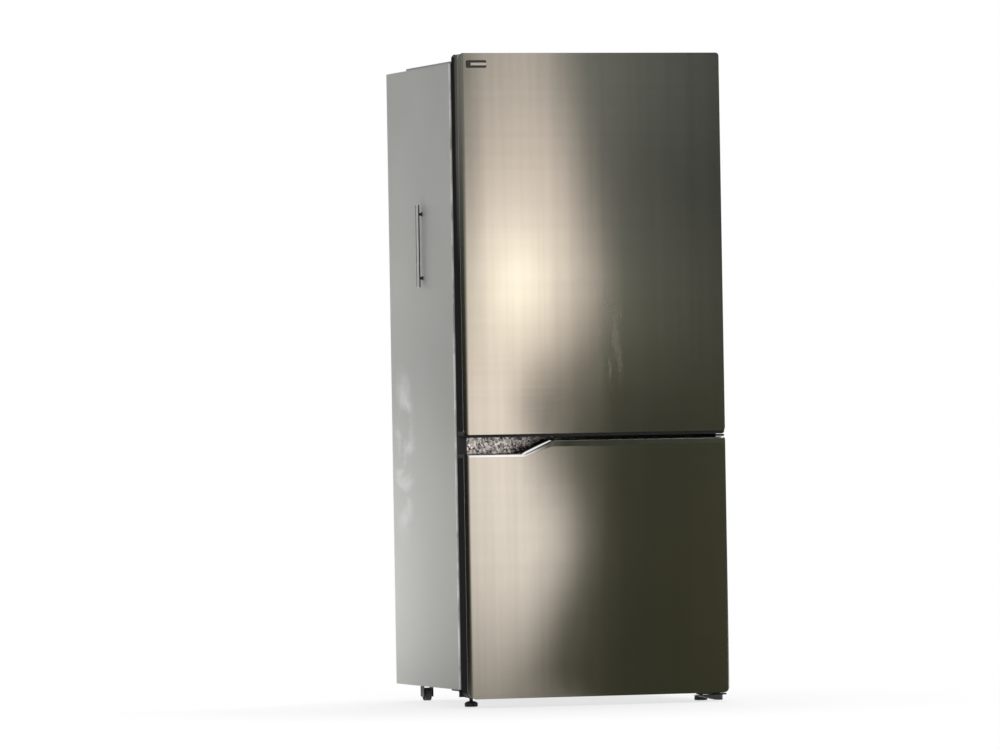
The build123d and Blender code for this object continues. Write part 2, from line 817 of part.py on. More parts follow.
# Rear cover of the machine space with two banks of cooling slots and a hole for the cord gland.
gland_x = half_width * 0.83
gland_z = cabinet_bottom + 36
gland_radius = 9.0
with BuildPart() as rear_cover:
    cover_low = cabinet_bottom + 18
    with BuildSketch(upright(cabinet_back - sheet - 1.2)):
        with Locations((0, (cover_low + machine_top) / 2)):
            Rectangle(2 * board_half, machine_top - fit - cover_low)
        for bank in (-0.42, 0.42):
            with Locations((bank * half_width, (cover_low + machine_top) / 2 + 10)):
                with GridLocations(half_width * 0.09, 46, 7, 2):
                    SlotOverall(36, 9, rotation=90, mode=Mode.SUBTRACT)
        with Locations((gland_x, gland_z)):
            Circle(gland_radius + running, mode=Mode.SUBTRACT)
    extrude(amount=-1.2)
finish(rear_cover, "rear_cover")

with BuildPart() as cord_gland:
    gland_out = cabinet_back - sheet
    with BuildSketch(Plane.XY.offset(gland_z)):
        with BuildLine():
            Polyline(
                (gland_x + 4, gland_out - 12),
                (gland_x + gland_radius - 1, gland_out - 12),
                (gland_x + gland_radius, gland_out - 9),
                (gland_x + gland_radius, gland_out),
                (gland_x + 13, gland_out),
                (gland_x + 13, gland_out + 1.5),
                (gland_x + 10, gland_out + 2.8),
                (gland_x + 4, gland_out + 2.8),
                close=True,
            )
        make_face()
    revolve(axis=Axis((gland_x, 0, gland_z), (0, 1, 0)))
finish(cord_gland, "cord_gland")

# Evaporator behind the freezer back cover: fins on a tube bank between end plates.
evaporator_half = cavity_half * 0.72
evaporator_low = hump_top + 4
evaporator_high = hump_top + 190
evaporator_mid = (evaporator_front + cavity_back) / 2 + 6
evaporator_tubes = [(evaporator_mid + dy, evaporator_low + dz) for dy in (-14, 14) for dz in (30, 74, 118, 162)]
with BuildPart() as evaporator:
    fin_gap = (2 * evaporator_half - 8) / 22
    for n in range(23):
        with BuildSketch(Plane.YZ.offset(-evaporator_half + 4 + n * fin_gap)):
            with Locations((evaporator_mid, (evaporator_low + evaporator_high) / 2)):
                Rectangle(52, evaporator_high - evaporator_low - 8)
        extrude(amount=0.3, both=True)
    for y, z in evaporator_tubes:
        with BuildSketch(Plane.YZ.offset(-evaporator_half - 10)):
            with Locations((y, z)):
                RegularPolygon(4.5, 8)
        extrude(amount=2 * evaporator_half + 20)
    for x in (-evaporator_half, evaporator_half - 1.5):
        with BuildSketch(Plane.YZ.offset(x)):
            with Locations((evaporator_mid, (hump_top + fit + evaporator_high) / 2)):
                Rectangle(56, evaporator_high - hump_top - fit)
        extrude(amount=1.5)
finish(evaporator, "evaporator")

# Evaporator cover: the freezer's back wall, with a fan grille above and return slots below.
fan_z = freezer_ceiling - 88
with BuildPart() as evaporator_cover:
    with BuildSketch(upright(evaporator_front)):
        with Locations((0, (hump_top + freezer_ceiling) / 2)):
            RectangleRounded(2 * cavity_half - 2, freezer_ceiling - hump_top - 2, 7)
        with Locations((0, fan_z)):
            with PolarLocations(36, 14):
                SlotOverall(40, 8, mode=Mode.SUBTRACT)
        with Locations((0, hump_top + 34)):
            with GridLocations(cavity_half / 5, 0, 8, 1):
                SlotOverall(46, 12, mode=Mode.SUBTRACT)
    extrude(amount=-3)
    for side in (-1, 1):
        with BuildSketch(upright(evaporator_front + 3)):
            with Locations((side * (cavity_half - 6), (hump_top + freezer_ceiling) / 2)):
                Rectangle(3, freezer_ceiling - hump_top - 40)
        extrude(amount=-(cavity_back - evaporator_front - 3 - fit))
finish(evaporator_cover, "evaporator_cover")

# Evaporator fan motor on the liner's back wall, and the fan on its shaft.
shaft_radius = 3.0
with BuildPart() as fan_motor:
    with BuildSketch(upright(cavity_back - fit)):
        with Locations((0, fan_z)):
            Circle(34)
    extrude(amount=4)
    with BuildSketch(upright(cavity_back - fit - 4)):
        with Locations((0, fan_z)):
            Circle(22)
    extrude(amount=26)
    with BuildSketch(upright(cavity_back - fit - 30)):
        with Locations((0, fan_z)):
            Circle(shaft_radius)
    extrude(amount=24)
finish(fan_motor, "fan_motor")

with BuildPart() as evaporator_fan:
    fan_back = cavity_back - fit - 34
    with BuildSketch(upright(fan_back)):
        with Locations((0, fan_z)):
            Circle(15)
    extrude(amount=22)
    for n in range(5):
        angle = radians(72 * n + 18)
        out = (cos(angle), 0, sin(angle))
        blade = Plane(
            origin=(12 * out[0], fan_back - 11, fan_z + 12 * out[2]),
            x_dir=(-sin(angle) * cos(radians(32)), -sin(radians(32)), cos(angle) * cos(radians(32))),
            z_dir=out,
        )
        with BuildSketch(blade):
            Rectangle(26, 1.6)
        extrude(amount=42)
    with BuildSketch(upright(fan_back)):
        with Locations((0, fan_z)):
            Circle(shaft_radius + running)
    extrude(amount=21, mode=Mode.SUBTRACT)
finish(evaporator_fan, "evaporator_fan")

# Air tower on the refrigerator's back wall, slotted at every shelf space.
with BuildPart() as air_tower:
    tower_low = crisper_level + 34
    tower_high = fridge_ceiling - 40
    with BuildSketch(Plane.XY.offset(tower_low)):
        with BuildLine():
            FilletPolyline(
                (-130, cavity_back - fit),
                (-130, cavity_back - 14),
                (-96, cavity_back - 26),
                (96, cavity_back - 26),
                (130, cavity_back - 14),
                (130, cavity_back - fit),
                radius=[4, 12, 12, 4],
            )
            Line((130, cavity_back - fit), (-130, cavity_back - fit))
        make_face()
    extrude(amount=tower_high - tower_low)
    with BuildSketch(upright(cavity_back - 26)):
        for level in shelf_levels + [fridge_ceiling - 60]:
            with Locations((0, level - 46)):
                with GridLocations(78, 18, 2, 2):
                    SlotOverall(62, 9)
    extrude(amount=-16, mode=Mode.SUBTRACT)
finish(air_tower, "air_tower")

# Control box on the refrigerator's ceiling with a lamp lens and a temperature dial.
box_front = cabinet_front + 100
box_back = box_front + 170
box_low = fridge_ceiling - 30
lens_x = -40.0
dial_x = 120.0
dial_y = (box_front + box_back) / 2
dial_shaft = 4.0
with BuildPart() as control_box:
    with BuildSketch(Plane.YZ):
        with BuildLine():
            FilletPolyline(
                (box_front, fridge_ceiling - fit),
                (box_front + 8, box_low),
                (box_back - 4, box_low),
                (box_back, fridge_ceiling - fit),
                radius=[8, 6],
            )
            Line((box_back, fridge_ceiling - fit), (box_front, fridge_ceiling - fit))
        make_face()
    extrude(amount=180, both=True)
    with BuildSketch(Plane.XY.offset(box_low)):
        with Locations((lens_x, dial_y)):
            RectangleRounded(210, 96, 14)
        with Locations((dial_x, dial_y)):
            Circle(dial_shaft + running)
    extrude(amount=14, mode=Mode.SUBTRACT)
finish(control_box, "control_box")

with BuildPart() as lamp_lens:
    with BuildSketch(Plane.XY.offset(box_low + 14 - fit)):
        with Locations((lens_x, dial_y)):
            RectangleRounded(210 - 2 * fit, 96 - 2 * fit, 14 - fit)
    extrude(amount=-17)
    fillet(lamp_lens.faces().sort_by(Axis.Z)[0].edges(), radius=3)
finish(lamp_lens, "lamp_lens")

with BuildPart() as temperature_dial:
    with BuildSketch(Plane.XY.offset(box_low - fit)):
        with Locations((dial_x, dial_y)):
            Circle(22)
            with PolarLocations(23, 16):
                Circle(2.4, mode=Mode.SUBTRACT)
    extrude(amount=-9)
    with BuildSketch(Plane.XY.offset(box_low - fit - 9)):
        with Locations((dial_x, dial_y)):
            SlotOverall(38, 10)
    extrude(amount=-7, taper=8)
    with BuildSketch(Plane.XY.offset(box_low - fit)):
        with Locations((dial_x, dial_y)):
            Circle(dial_shaft)
    extrude(amount=12)
finish(temperature_dial, "temperature_dial")

# Glass shelves on the liner ledges, and the glass set in the crisper cover.
frame_front = shelf_front + 8
frame_back = cavity_back - 14
frame_mid = (frame_front + frame_back) / 2
frame_half = cavity_half - 4
with BuildPart() as shelf_glass:
    for level in shelf_levels:
        with BuildSketch(Plane.XY.offset(level)):
            with Locations((0, (shelf_front + shelf_back) / 2)):
                Rectangle(2 * cavity_half - 8, shelf_back - shelf_front - 20)
        extrude(amount=glass)
    with BuildSketch(Plane.XY.offset(crisper_level + 12 - glass)):
        with Locations((0, frame_mid)):
            Rectangle(2 * frame_half - 24 - 2 * fit, frame_back - frame_front - 28 - 2 * fit)
    extrude(amount=glass)
finish(shelf_glass, "shelf_glass")

# Moulded frames: a trim on the front and rear edges of each shelf, and the crisper cover's rebated frame.
with BuildPart() as shelf_frames:
    for level in shelf_levels:
        for edge, inward in ((shelf_front, 1), (shelf_back, -1)):
            drop = 9 if inward > 0 else 3
            with BuildSketch(Plane.YZ):
                with BuildLine():
                    Polyline(
                        (edge, level + glass + 1),
                        (edge + inward * 3, level + glass + 3),
                        (edge + inward * 20, level + glass + 3),
                        (edge + inward * 20, level + glass + fit),
                        (edge + inward * (10 - fit), level + glass + fit),
                        (edge + inward * (10 - fit), level - fit),
                        (edge + inward * 20, level - fit),
                        (edge + inward * 20, level - 3),
                        (edge + inward * 3, level - drop),
                        (edge, level - drop + 2),
                        close=True,
                    )
                make_face()
            extrude(amount=frame_half, both=True)
    with BuildSketch(Plane.XY.offset(crisper_level)):
        with Locations((0, frame_mid)):
            Rectangle(2 * frame_half, frame_back - frame_front)
        for side in (-1, 1):
            with Locations((side * (frame_half / 2 + 2), frame_mid)):
                RectangleRounded(frame_half - 34, frame_back - frame_front - 52, 10, mode=Mode.SUBTRACT)
    extrude(amount=12)
    with BuildSketch(Plane.XY.offset(crisper_level + 12 - glass)):
        with Locations((0, frame_mid)):
            Rectangle(2 * frame_half - 24, frame_back - frame_front - 28)
    extrude(amount=glass, mode=Mode.SUBTRACT)
finish(shelf_frames, "shelf_frames")


def tub(x, width, front, back, base, height, draft):
    """A drawer: a drafted tub with a front plate and a hooked grip along its upper edge."""
    with BuildPart() as body:
        with BuildSketch(Plane.XY.offset(base + height)):
            with Locations((x, (front + back) / 2)):
                RectangleRounded(width, back - front, 14)
        extrude(amount=-height, taper=draft)
        fillet(body.faces().sort_by(Axis.Z)[0].edges(), radius=5)
        with BuildSketch(Plane.XY.offset(base + height)):
            with Locations((x, (front + back) / 2)):
                RectangleRounded(width - 2 * tub_wall, back - front - 2 * tub_wall, 14 - tub_wall)
        extrude(amount=-(height - tub_wall), taper=draft, mode=Mode.SUBTRACT)
        with BuildSketch(upright(front)):
            with Locations((x, base + 4 + height / 2)):
                RectangleRounded(width, height - 8, 8)
        extrude(amount=-tub_wall)
        with BuildSketch(Plane.YZ.offset(x)):
            with BuildLine():
                FilletPolyline(
                    (front + tub_wall, base + height),
                    (front - 14, base + height),
                    (front - 14, base + height - 20),
                    (front - 11, base + height - 20),
                    (front - 11, base + height - 3),
                    (front + tub_wall, base + height - 6),
                    radius=[3, 1, 1, 2],
                )
                Line((front + tub_wall, base + height - 6), (front + tub_wall, base + height))
            make_face()
        extrude(amount=width * 0.32, both=True)
    return body


crisper_width = (2 * cavity_half - 24) / 2
crisper_x = (crisper_width + 6) / 2
left_crisper = tub(-crisper_x, crisper_width, crisper_front, frame_back, fridge_floor + fit, crisper_height, 2)
finish(left_crisper, "left_crisper")
right_crisper = tub(crisper_x, crisper_width, crisper_front, frame_back, fridge_floor + fit, crisper_height, 2)
finish(right_crisper, "right_crisper")

drawer_width = 2 * cavity_half - 8
drawer_back = evaporator_front - 8
upper_step = drawer_bases[2] - drawer_bases[1]
lower_drawer_back = hump_front - 10
lower_freezer_drawer = tub(
    0, drawer_width, drawer_front, lower_drawer_back, freezer_floor + fit, drawer_bases[1] - freezer_floor - 22, 1
)
finish(lower_freezer_drawer, "lower_freezer_drawer")
middle_freezer_drawer = tub(
    0, drawer_width, drawer_front, drawer_back, drawer_bases[1] + fit, upper_step - 22, 0.8
)
finish(middle_freezer_drawer, "middle_freezer_drawer")
upper_freezer_drawer = tub(
    0, drawer_width, drawer_front, drawer_back, drawer_bases[2] + fit, freezer_ceiling - drawer_bases[2] - 24, 0.8
)
finish(upper_freezer_drawer, "upper_freezer_drawer")

# Side rail: a slim bar with domed ends and a turned groove, held off the left wall on two posts.
rail_x = -half_width - rail_gap - rail_radius
rail_y = cabinet_front + rail_setback
rail_top = cabinet_top - rail_drop
rail_bottom = rail_top - rail_length
groove_z = rail_top - 0.715 * rail_length
with BuildPart() as side_rail:
    with BuildSketch(upright(rail_y)):
        with BuildLine():
            FilletPolyline(
                (rail_x, rail_bottom),
                (rail_x + rail_radius, rail_bottom),
                (rail_x + rail_radius, groove_z - 1.6),
                (rail_x + rail_radius - 1, groove_z - 1),
                (rail_x + rail_radius - 1, groove_z + 1),
                (rail_x + rail_radius, groove_z + 1.6),
                (rail_x + rail_radius, rail_top),
                (rail_x, rail_top),
                radius=[4, 0, 0, 0, 0, 1.5],
            )
            Line((rail_x, rail_top), (rail_x, rail_bottom))
        make_face()
    revolve(axis=Axis((rail_x, rail_y, 0), (0, 0, 1)))
    for z in (rail_bottom + 26, rail_top - 26):
        with BuildSketch(Plane.YZ.offset(-half_width)):
            with Locations((rail_y, z)):
                Circle(6)
        extrude(amount=-2)
        with BuildSketch(Plane.YZ.offset(-half_width - 2)):
            with Locations((rail_y, z)):
                Circle(3.6)
        extrude(amount=-(rail_gap - fit))
finish(side_rail, "side_rail")


def door_outline(bottom, top, low_radius, high_radius):
    """The rounded front outline of a door, on the current sketch."""
    with BuildLine() as rim:
        FilletPolyline(
            (-half_width, bottom),
            (half_width, bottom),
            (half_width, top),
            (-half_width, top),
            radius=[low_radius, low_radius, high_radius, high_radius],
            close=True,
        )
    make_face(rim.edges())


def skin_blank(bottom, top):
    """A door skin before its outline is cut: front, rolled edges, sides and rear hems in one sheet."""
    with BuildSketch(Plane.XY.offset(bottom)) as plan:
        with BuildLine():
            FilletPolyline(
                (half_width - skin_hem, skin_back),
                (half_width, skin_back),
                (half_width, door_front),
                (-half_width, door_front),
                (-half_width, skin_back),
                (-half_width + skin_hem, skin_back),
                radius=[1.6, door_edge, door_edge, 1.6],
            )
            offset(amount=sheet, side=Side.RIGHT)
        make_face()
    extrude(plan.sketch, amount=top - bottom)


def cap_blank(bottom, top, front):
    """A moulded end cap that fills the skin from side to side between two heights."""
    with BuildSketch(Plane.XY.offset(bottom)) as plan:
        with Locations((0, (front + cap_back) / 2)):
            Rectangle(2 * (half_width - sheet - fit), cap_back - front)
        fillet(plan.vertices().group_by(Axis.Y)[0], radius=door_edge - sheet)
    extrude(plan.sketch, amount=top - bottom)


def hinge_bore(start, depth):
    """The blind bore for a hinge pin, from a start height up or down by a depth."""
    with BuildSketch(Plane.XY.offset(start)) as bore:
        with Locations((hinge_x, hinge_y)):
            Circle(bore_radius)
    extrude(bore.sketch, amount=depth, mode=Mode.SUBTRACT)


def hinge_notch():
    """The corner of the upper door cut away for the top hinge arm."""
    with BuildSketch(Plane.XY.offset(notch_floor)) as corner:
        with Locations(((notch_left + half_width + 20) / 2, (notch_front + door_back + 20) / 2)):
            Rectangle(half_width + 20 - notch_left, door_back + 20 - notch_front)
    extrude(corner.sketch, amount=upper_door_top - notch_floor + 10, mode=Mode.SUBTRACT)


# Upper door skin, caps, foam and liner.
upper_skin_bottom = upper_door_bottom + upper_skin_lift
with BuildPart() as upper_door_skin:
    skin_blank(upper_skin_bottom, upper_door_top)
    with BuildSketch(upright(door_front - 1)):
        door_outline(upper_skin_bottom, upper_door_top, seam_corner, upper_corner)
    extrude(amount=-(door_thickness + 2), mode=Mode.INTERSECT)
    hinge_notch()
finish(upper_door_skin, "upper_door_skin")

top_cap_bottom = notch_floor - pin_bite - 12
grip_front = door_front + 18
grip_back = door_front + 48
grip_left = -half_width + 20
with BuildPart() as upper_door_foot_cap:
    cap_blank(upper_door_bottom, upper_door_bottom + cap_height, door_front + 4)
    with BuildSketch(upright(door_front - 1)):
        door_outline(upper_door_bottom, upper_door_bottom + 200, seam_corner, 0)
    extrude(amount=-(door_thickness + 2), mode=Mode.INTERSECT)

with BuildPart() as upper_door_caps:
    cap_blank(top_cap_bottom, upper_door_top - 1.5, door_front + sheet + fit)
    with BuildSketch(upright(door_front - 1)):
        door_outline(top_cap_bottom - 40, upper_door_top - 1.5, 0, upper_corner)
    extrude(amount=-(door_thickness + 2), mode=Mode.INTERSECT)
    hinge_notch()
    hinge_bore(notch_floor, -(pin_bite + 4))
    add(upper_door_foot_cap.part)
    hinge_bore(upper_door_bottom, pin_bite + 4)
    with BuildSketch(Plane.XY.offset(upper_door_bottom)):
        with Locations((grip_left + (pocket_end - 10) / 2, (grip_front + grip_back) / 2)):
            RectangleRounded(pocket_end - 10, grip_back - grip_front, 12)
    extrude(amount=20, taper=6, mode=Mode.SUBTRACT)
finish(upper_door_caps, "upper_door_caps")

with BuildPart() as upper_door_foam:
    cap_blank(upper_door_bottom + cap_height + fit, top_cap_bottom - fit, door_front + sheet + fit)
finish(upper_door_foam, "upper_door_foam")


def door_liner(bottom, top, low, high, dyke):
    """The inner door panel with a raised rectangular rim that stands into the opening."""
    with BuildSketch(upright(skin_back)) as panel:
        with Locations((0, (bottom + top) / 2)):
            RectangleRounded(cabinet_width - 10, top - bottom, 5)
    extrude(panel.sketch, amount=-liner_sheet)
    rim_half = cavity_half - dyke_inset
    with BuildSketch(upright(door_back)) as rim:
        with Locations((0, (low + high) / 2)):
            RectangleRounded(2 * rim_half, high - low, 16)
            RectangleRounded(
                2 * (rim_half - dyke_width), high - low - 2 * dyke_width, 8, mode=Mode.SUBTRACT
            )
    extrude(rim.sketch, amount=-dyke, taper=2)


rim_inner = cavity_half - dyke_inset - dyke_width
lug_low = 16.0
lug_high = 42.0
with BuildPart() as upper_door_liner:
    door_liner(upper_door_bottom + 4, notch_floor - 2, fridge_floor + 12, fridge_ceiling - 12, upper_dyke)
    for base in bin_bases:
        for side in (-1, 1):
            with BuildSketch(upright(door_back)):
                with Locations((side * (rim_inner - 1.5), base + (lug_low + lug_high) / 2)):
                    RectangleRounded(9, lug_high - lug_low, 3)
            extrude(amount=-30)
finish(upper_door_liner, "upper_door_liner")

with BuildPart() as lower_door_liner:
    door_liner(cabinet_bottom + 4, lower_seal_top + 2, freezer_floor + 12, freezer_ceiling - 12, lower_dyke)
finish(lower_door_liner, "lower_door_liner")


def door_seal(bottom, top):
    """A magnetic seal ring: foot strip, narrower bellows and the magnet strip that meets the cabinet."""
    with BuildPart() as ring:
        reach = seal_gap - 2 * fit
        for start, thick, inset in ((0, 4, 0), (4, reach - 9, 4), (reach - 5, 5, 0)):
            with BuildSketch(upright(door_back + fit + start)):
                with Locations((0, (bottom + top) / 2)):
                    Rectangle(2 * (seal_half - inset), top - bottom - 2 * inset)
                    Rectangle(
                        2 * (seal_half - seal_width + inset),
                        top - bottom - 2 * (seal_width - inset),
                        mode=Mode.SUBTRACT,
                    )
            extrude(amount=-thick)
    return ring


upper_door_seal = door_seal(upper_seal_bottom, upper_seal_top)
finish(upper_door_seal, "upper_door_seal")
lower_door_seal = door_seal(lower_seal_bottom, lower_seal_top)
finish(lower_door_seal, "lower_door_seal")


def door_bin(base):
    """A door bin: a drafted tray with two hooks that sit on the liner lugs."""
    half = rim_inner - 7.5
    with BuildPart() as tray:
        with BuildSketch(Plane.XY.offset(base + bin_height)):
            with Locations((0, door_back + 2 + bin_depth / 2)):
                RectangleRounded(2 * half, bin_depth, 16)
        extrude(amount=-bin_height, taper=2)
        fillet(tray.faces().sort_by(Axis.Z)[0].edges(), radius=5)
        for side in (-1, 1):
            with BuildSketch(upright(door_back + 4)):
                with Locations((side * (half + 1), base + lug_high + fit + 7)):
                    RectangleRounded(9, 14, 2)
            extrude(amount=-24)
        with BuildSketch(Plane.XY.offset(base + bin_height)):
            with Locations((0, door_back + 2 + bin_depth / 2)):
                RectangleRounded(2 * (half - tub_wall), bin_depth - 2 * tub_wall, 16 - tub_wall)
        extrude(amount=-(bin_height - tub_wall), taper=2, mode=Mode.SUBTRACT)
    return tray


door_bins = {}
for bin_name, bin_base in zip(("lower_door_bin", "middle_door_bin", "upper_door_bin"), bin_bases):
    door_bins[bin_name] = door_bin(bin_base)
    finish(door_bins[bin_name], bin_name)

# Badge plate: a bare rounded plate near the upper left corner.
with BuildPart() as badge_plate:
    with BuildSketch(upright(door_front)):
        with Locations((-half_width + 50, upper_door_top - 30)):
            RectangleRounded(58, 21, 4)
    extrude(amount=1.2)
    fillet(badge_plate.faces().sort_by(Axis.Y)[0].edges(), radius=0.6)
finish(badge_plate, "badge_plate")

# Lower door: the skin's top edge steps down at the left for the handle pocket.
skin_low = pocket_floor - trim_low
skin_high = lower_door_top - trim_high
pocket_a = -half_width + pocket_flat
pocket_b = -half_width + pocket_end
with BuildPart() as lower_door_skin:
    skin_blank(lower_door_bottom, lower_door_top)
    with BuildSketch(upright(door_front - 1)):
        with BuildLine():
            FilletPolyline(
                (-half_width, lower_door_bottom),
                (half_width, lower_door_bottom),
                (half_width, skin_high),
                (pocket_b + 4, skin_high),
                (pocket_a + 4, skin_low),
                (-half_width, skin_low),
                radius=[lower_corner, lower_corner, 0, 12, 12, 0],
                close=True,
            )
        make_face()
    extrude(amount=-(door_thickness + 2), mode=Mode.INTERSECT)
finish(lower_door_skin, "lower_door_skin")

# Handle trim: the stepped chrome strip on the top edge of the lower door, bevelled along its top.
with BuildPart() as handle_trim:
    with BuildSketch(upright(door_front)):
        with BuildLine():
            FilletPolyline(
                (-half_width, skin_low + fit),
                (pocket_a + 4, skin_low + fit),
                (pocket_b + 4, skin_high + fit),
                (half_width, skin_high + fit),
                (half_width, lower_door_top),
                (pocket_b, lower_door_top),
                (pocket_a, pocket_floor),
                (-half_width, pocket_floor),
                radius=[0, 12, 12, 0, seam_corner, 12, 12, 0],
                close=True,
            )
        make_face()
    extrude(amount=-trim_depth)
    upper_edges = [
        e
        for e in handle_trim.faces().sort_by(Axis.Y)[0].edges()
        if e.center().Z > (pocket_floor - 2 if e.center().X < pocket_a else 0)
        and (e.center().X < pocket_a or e.center().X > pocket_b or e.center().Z > (skin_low + skin_high) / 2 + 8)
        and (e.center().X < pocket_b or e.center().Z > lower_door_top - 2)
    ]
    chamfer(upper_edges, length=4)
    with BuildSketch(Plane.XY.offset(skin_low - 5)) as trim_plan:
        with Locations((0, door_front + door_thickness / 2)):
            Rectangle(cabinet_width, door_thickness)
        fillet(trim_plan.vertices().group_by(Axis.Y)[0], radius=door_edge)
    extrude(amount=lower_door_top - skin_low + 10, mode=Mode.INTERSECT)
finish(handle_trim, "handle_trim")

# Top cap of the lower door: dark plastic behind the trim, with the slanted pocket and a finger groove.
cap_low = skin_low - 40
with BuildPart() as lower_door_top_cap:
    with BuildSketch(upright(door_front + trim_depth + fit)):
        with BuildLine():
            FilletPolyline(
                (-half_width + sheet + fit, cap_low),
                (half_width - sheet - fit, cap_low),
                (half_width - sheet - fit, lower_door_top),
                (pocket_b, lower_door_top),
                (pocket_a, pocket_floor),
                (-half_width + sheet + fit, pocket_floor),
                radius=[0, 0, seam_corner, 12, 12, 3],
                close=True,
            )
        make_face()
    extrude(amount=-(cap_back - door_front - trim_depth - fit))
    with BuildSketch(Plane.XY.offset(pocket_floor)):
        with Locations((grip_left + (pocket_flat - 40) / 2, (grip_front + grip_back) / 2)):
            RectangleRounded(pocket_flat - 40, grip_back - grip_front, 12)
    extrude(amount=-22, taper=6, mode=Mode.SUBTRACT)
    hinge_bore(lower_door_top, -(pin_bite + 4))
finish(lower_door_top_cap, "lower_door_top_cap")

with BuildPart() as lower_door_bottom_cap:
    cap_blank(lower_door_bottom + 1.5, lower_door_bottom + cap_height, door_front + sheet + fit)
    with BuildSketch(upright(door_front - 1)):
        door_outline(lower_door_bottom + 1.5, lower_door_bottom + 200, lower_corner, 0)
    extrude(amount=-(door_thickness + 2), mode=Mode.INTERSECT)
    hinge_bore(lower_door_bottom, pin_bite + 4)
finish(lower_door_bottom_cap, "lower_door_bottom_cap")

with BuildPart() as lower_door_foam:
    cap_blank(lower_door_bottom + cap_height + fit, cap_low - fit, door_front + sheet + fit)
finish(lower_door_foam, "lower_door_foam")
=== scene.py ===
import json
import math

import bmesh
import bpy
from mathutils import Matrix, Vector


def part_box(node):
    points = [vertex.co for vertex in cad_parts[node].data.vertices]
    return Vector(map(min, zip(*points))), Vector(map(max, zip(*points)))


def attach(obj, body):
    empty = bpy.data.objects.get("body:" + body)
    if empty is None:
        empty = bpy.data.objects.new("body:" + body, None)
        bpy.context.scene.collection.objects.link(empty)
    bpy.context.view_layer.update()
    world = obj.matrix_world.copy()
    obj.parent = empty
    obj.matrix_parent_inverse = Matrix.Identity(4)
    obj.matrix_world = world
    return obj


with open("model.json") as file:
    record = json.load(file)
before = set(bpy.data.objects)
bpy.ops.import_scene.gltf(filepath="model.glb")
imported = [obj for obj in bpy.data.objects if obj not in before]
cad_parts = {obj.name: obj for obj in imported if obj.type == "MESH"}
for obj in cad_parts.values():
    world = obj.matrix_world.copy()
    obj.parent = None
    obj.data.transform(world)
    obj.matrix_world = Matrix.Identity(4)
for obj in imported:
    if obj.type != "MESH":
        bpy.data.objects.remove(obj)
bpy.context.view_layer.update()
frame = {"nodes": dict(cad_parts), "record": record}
scene = bpy.context.scene
scene.view_settings.view_transform = "Standard"


# camera: far off with a long lens, a little to the left of the doors
viewpoint = {
    "distance": 20.0,
    "yaw": 0.2996,
    "pitch": -0.0063,
    "roll": -0.0171,
    "focalPixels": 7382.4,
    "picturePixels": 1000.0,
    "sensor": 36.0,
    "clipEnd": 200.0,
    "aim": (-0.2712, -0.350, 0.9023),
}


def makeCamera(v):
    ahead = Vector((
        math.sin(v["yaw"]) * math.cos(v["pitch"]),
        math.cos(v["yaw"]) * math.cos(v["pitch"]),
        -math.sin(v["pitch"]),
    ))
    level = Vector((math.cos(v["yaw"]), -math.sin(v["yaw"]), 0.0))
    upright = level.cross(ahead)
    right = level * math.cos(v["roll"]) + upright * math.sin(v["roll"])
    up = upright * math.cos(v["roll"]) - level * math.sin(v["roll"])
    data = bpy.data.cameras.new("photoCamera")
    data.sensor_fit = "HORIZONTAL"
    data.sensor_width = v["sensor"]
    data.lens = v["focalPixels"] * v["sensor"] / v["picturePixels"]
    data.clip_end = v["clipEnd"]
    camera = bpy.data.objects.new("photoCamera", data)
    scene.collection.objects.link(camera)
    place = Vector(v["aim"]) - ahead * v["distance"]
    turn = Matrix((right, up, -ahead)).transposed().to_4x4()
    camera.matrix_world = Matrix.Translation(place) @ turn
    scene.camera = camera


makeCamera(viewpoint)
print("camera placed")


# small helpers for node finishes
def startFinish(name, sockets):
    finish = bpy.data.materials.new(name)
    finish.use_nodes = True
    shader = finish.node_tree.nodes["Principled BSDF"]
    for socket, value in sockets.items():
        shader.inputs[socket].default_value = value
    return finish, finish.node_tree, shader


def plug(tree, value, socket):
    if isinstance(value, (int, float, tuple)):
        socket.default_value = (*value, 1.0) if isinstance(value, tuple) and len(value) == 3 else value
    else:
        tree.links.new(value, socket)


def objectSpace(tree, stretch=(1.0, 1.0, 1.0), turn=(0.0, 0.0, 0.0)):
    where = tree.nodes.new("ShaderNodeTexCoord")
    place = tree.nodes.new("ShaderNodeMapping")
    place.inputs["Scale"].default_value = stretch
    place.inputs["Rotation"].default_value = turn
    tree.links.new(where.outputs["Object"], place.inputs["Vector"])
    return place.outputs["Vector"]


def axes(tree):
    split = tree.nodes.new("ShaderNodeSeparateXYZ")
    tree.links.new(objectSpace(tree), split.inputs["Vector"])
    return split.outputs["X"], split.outputs["Y"], split.outputs["Z"]


def cloudy(tree, space, scale, detail=3.0, rough=0.5, distort=0.0):
    noise = tree.nodes.new("ShaderNodeTexNoise")
    noise.inputs["Scale"].default_value = scale
    noise.inputs["Detail"].default_value = detail
    noise.inputs["Roughness"].default_value = rough
    noise.inputs["Distortion"].default_value = distort
    tree.links.new(space, noise.inputs["Vector"])
    return noise.outputs["Fac"]


def cells(tree, space, scale, edge=False):
    voronoi = tree.nodes.new("ShaderNodeTexVoronoi")
    voronoi.feature = "DISTANCE_TO_EDGE" if edge else "F1"
    voronoi.inputs["Scale"].default_value = scale
    tree.links.new(space, voronoi.inputs["Vector"])
    return voronoi


def spread(tree, value, low, high, toLow=0.0, toHigh=1.0, soft=False):
    node = tree.nodes.new("ShaderNodeMapRange")
    if soft:
        node.interpolation_type = "SMOOTHSTEP"
    for name, number in (("From Min", low), ("From Max", high), ("To Min", toLow), ("To Max", toHigh)):
        node.inputs[name].default_value = number
    plug(tree, value, node.inputs["Value"])
    return node.outputs["Result"]


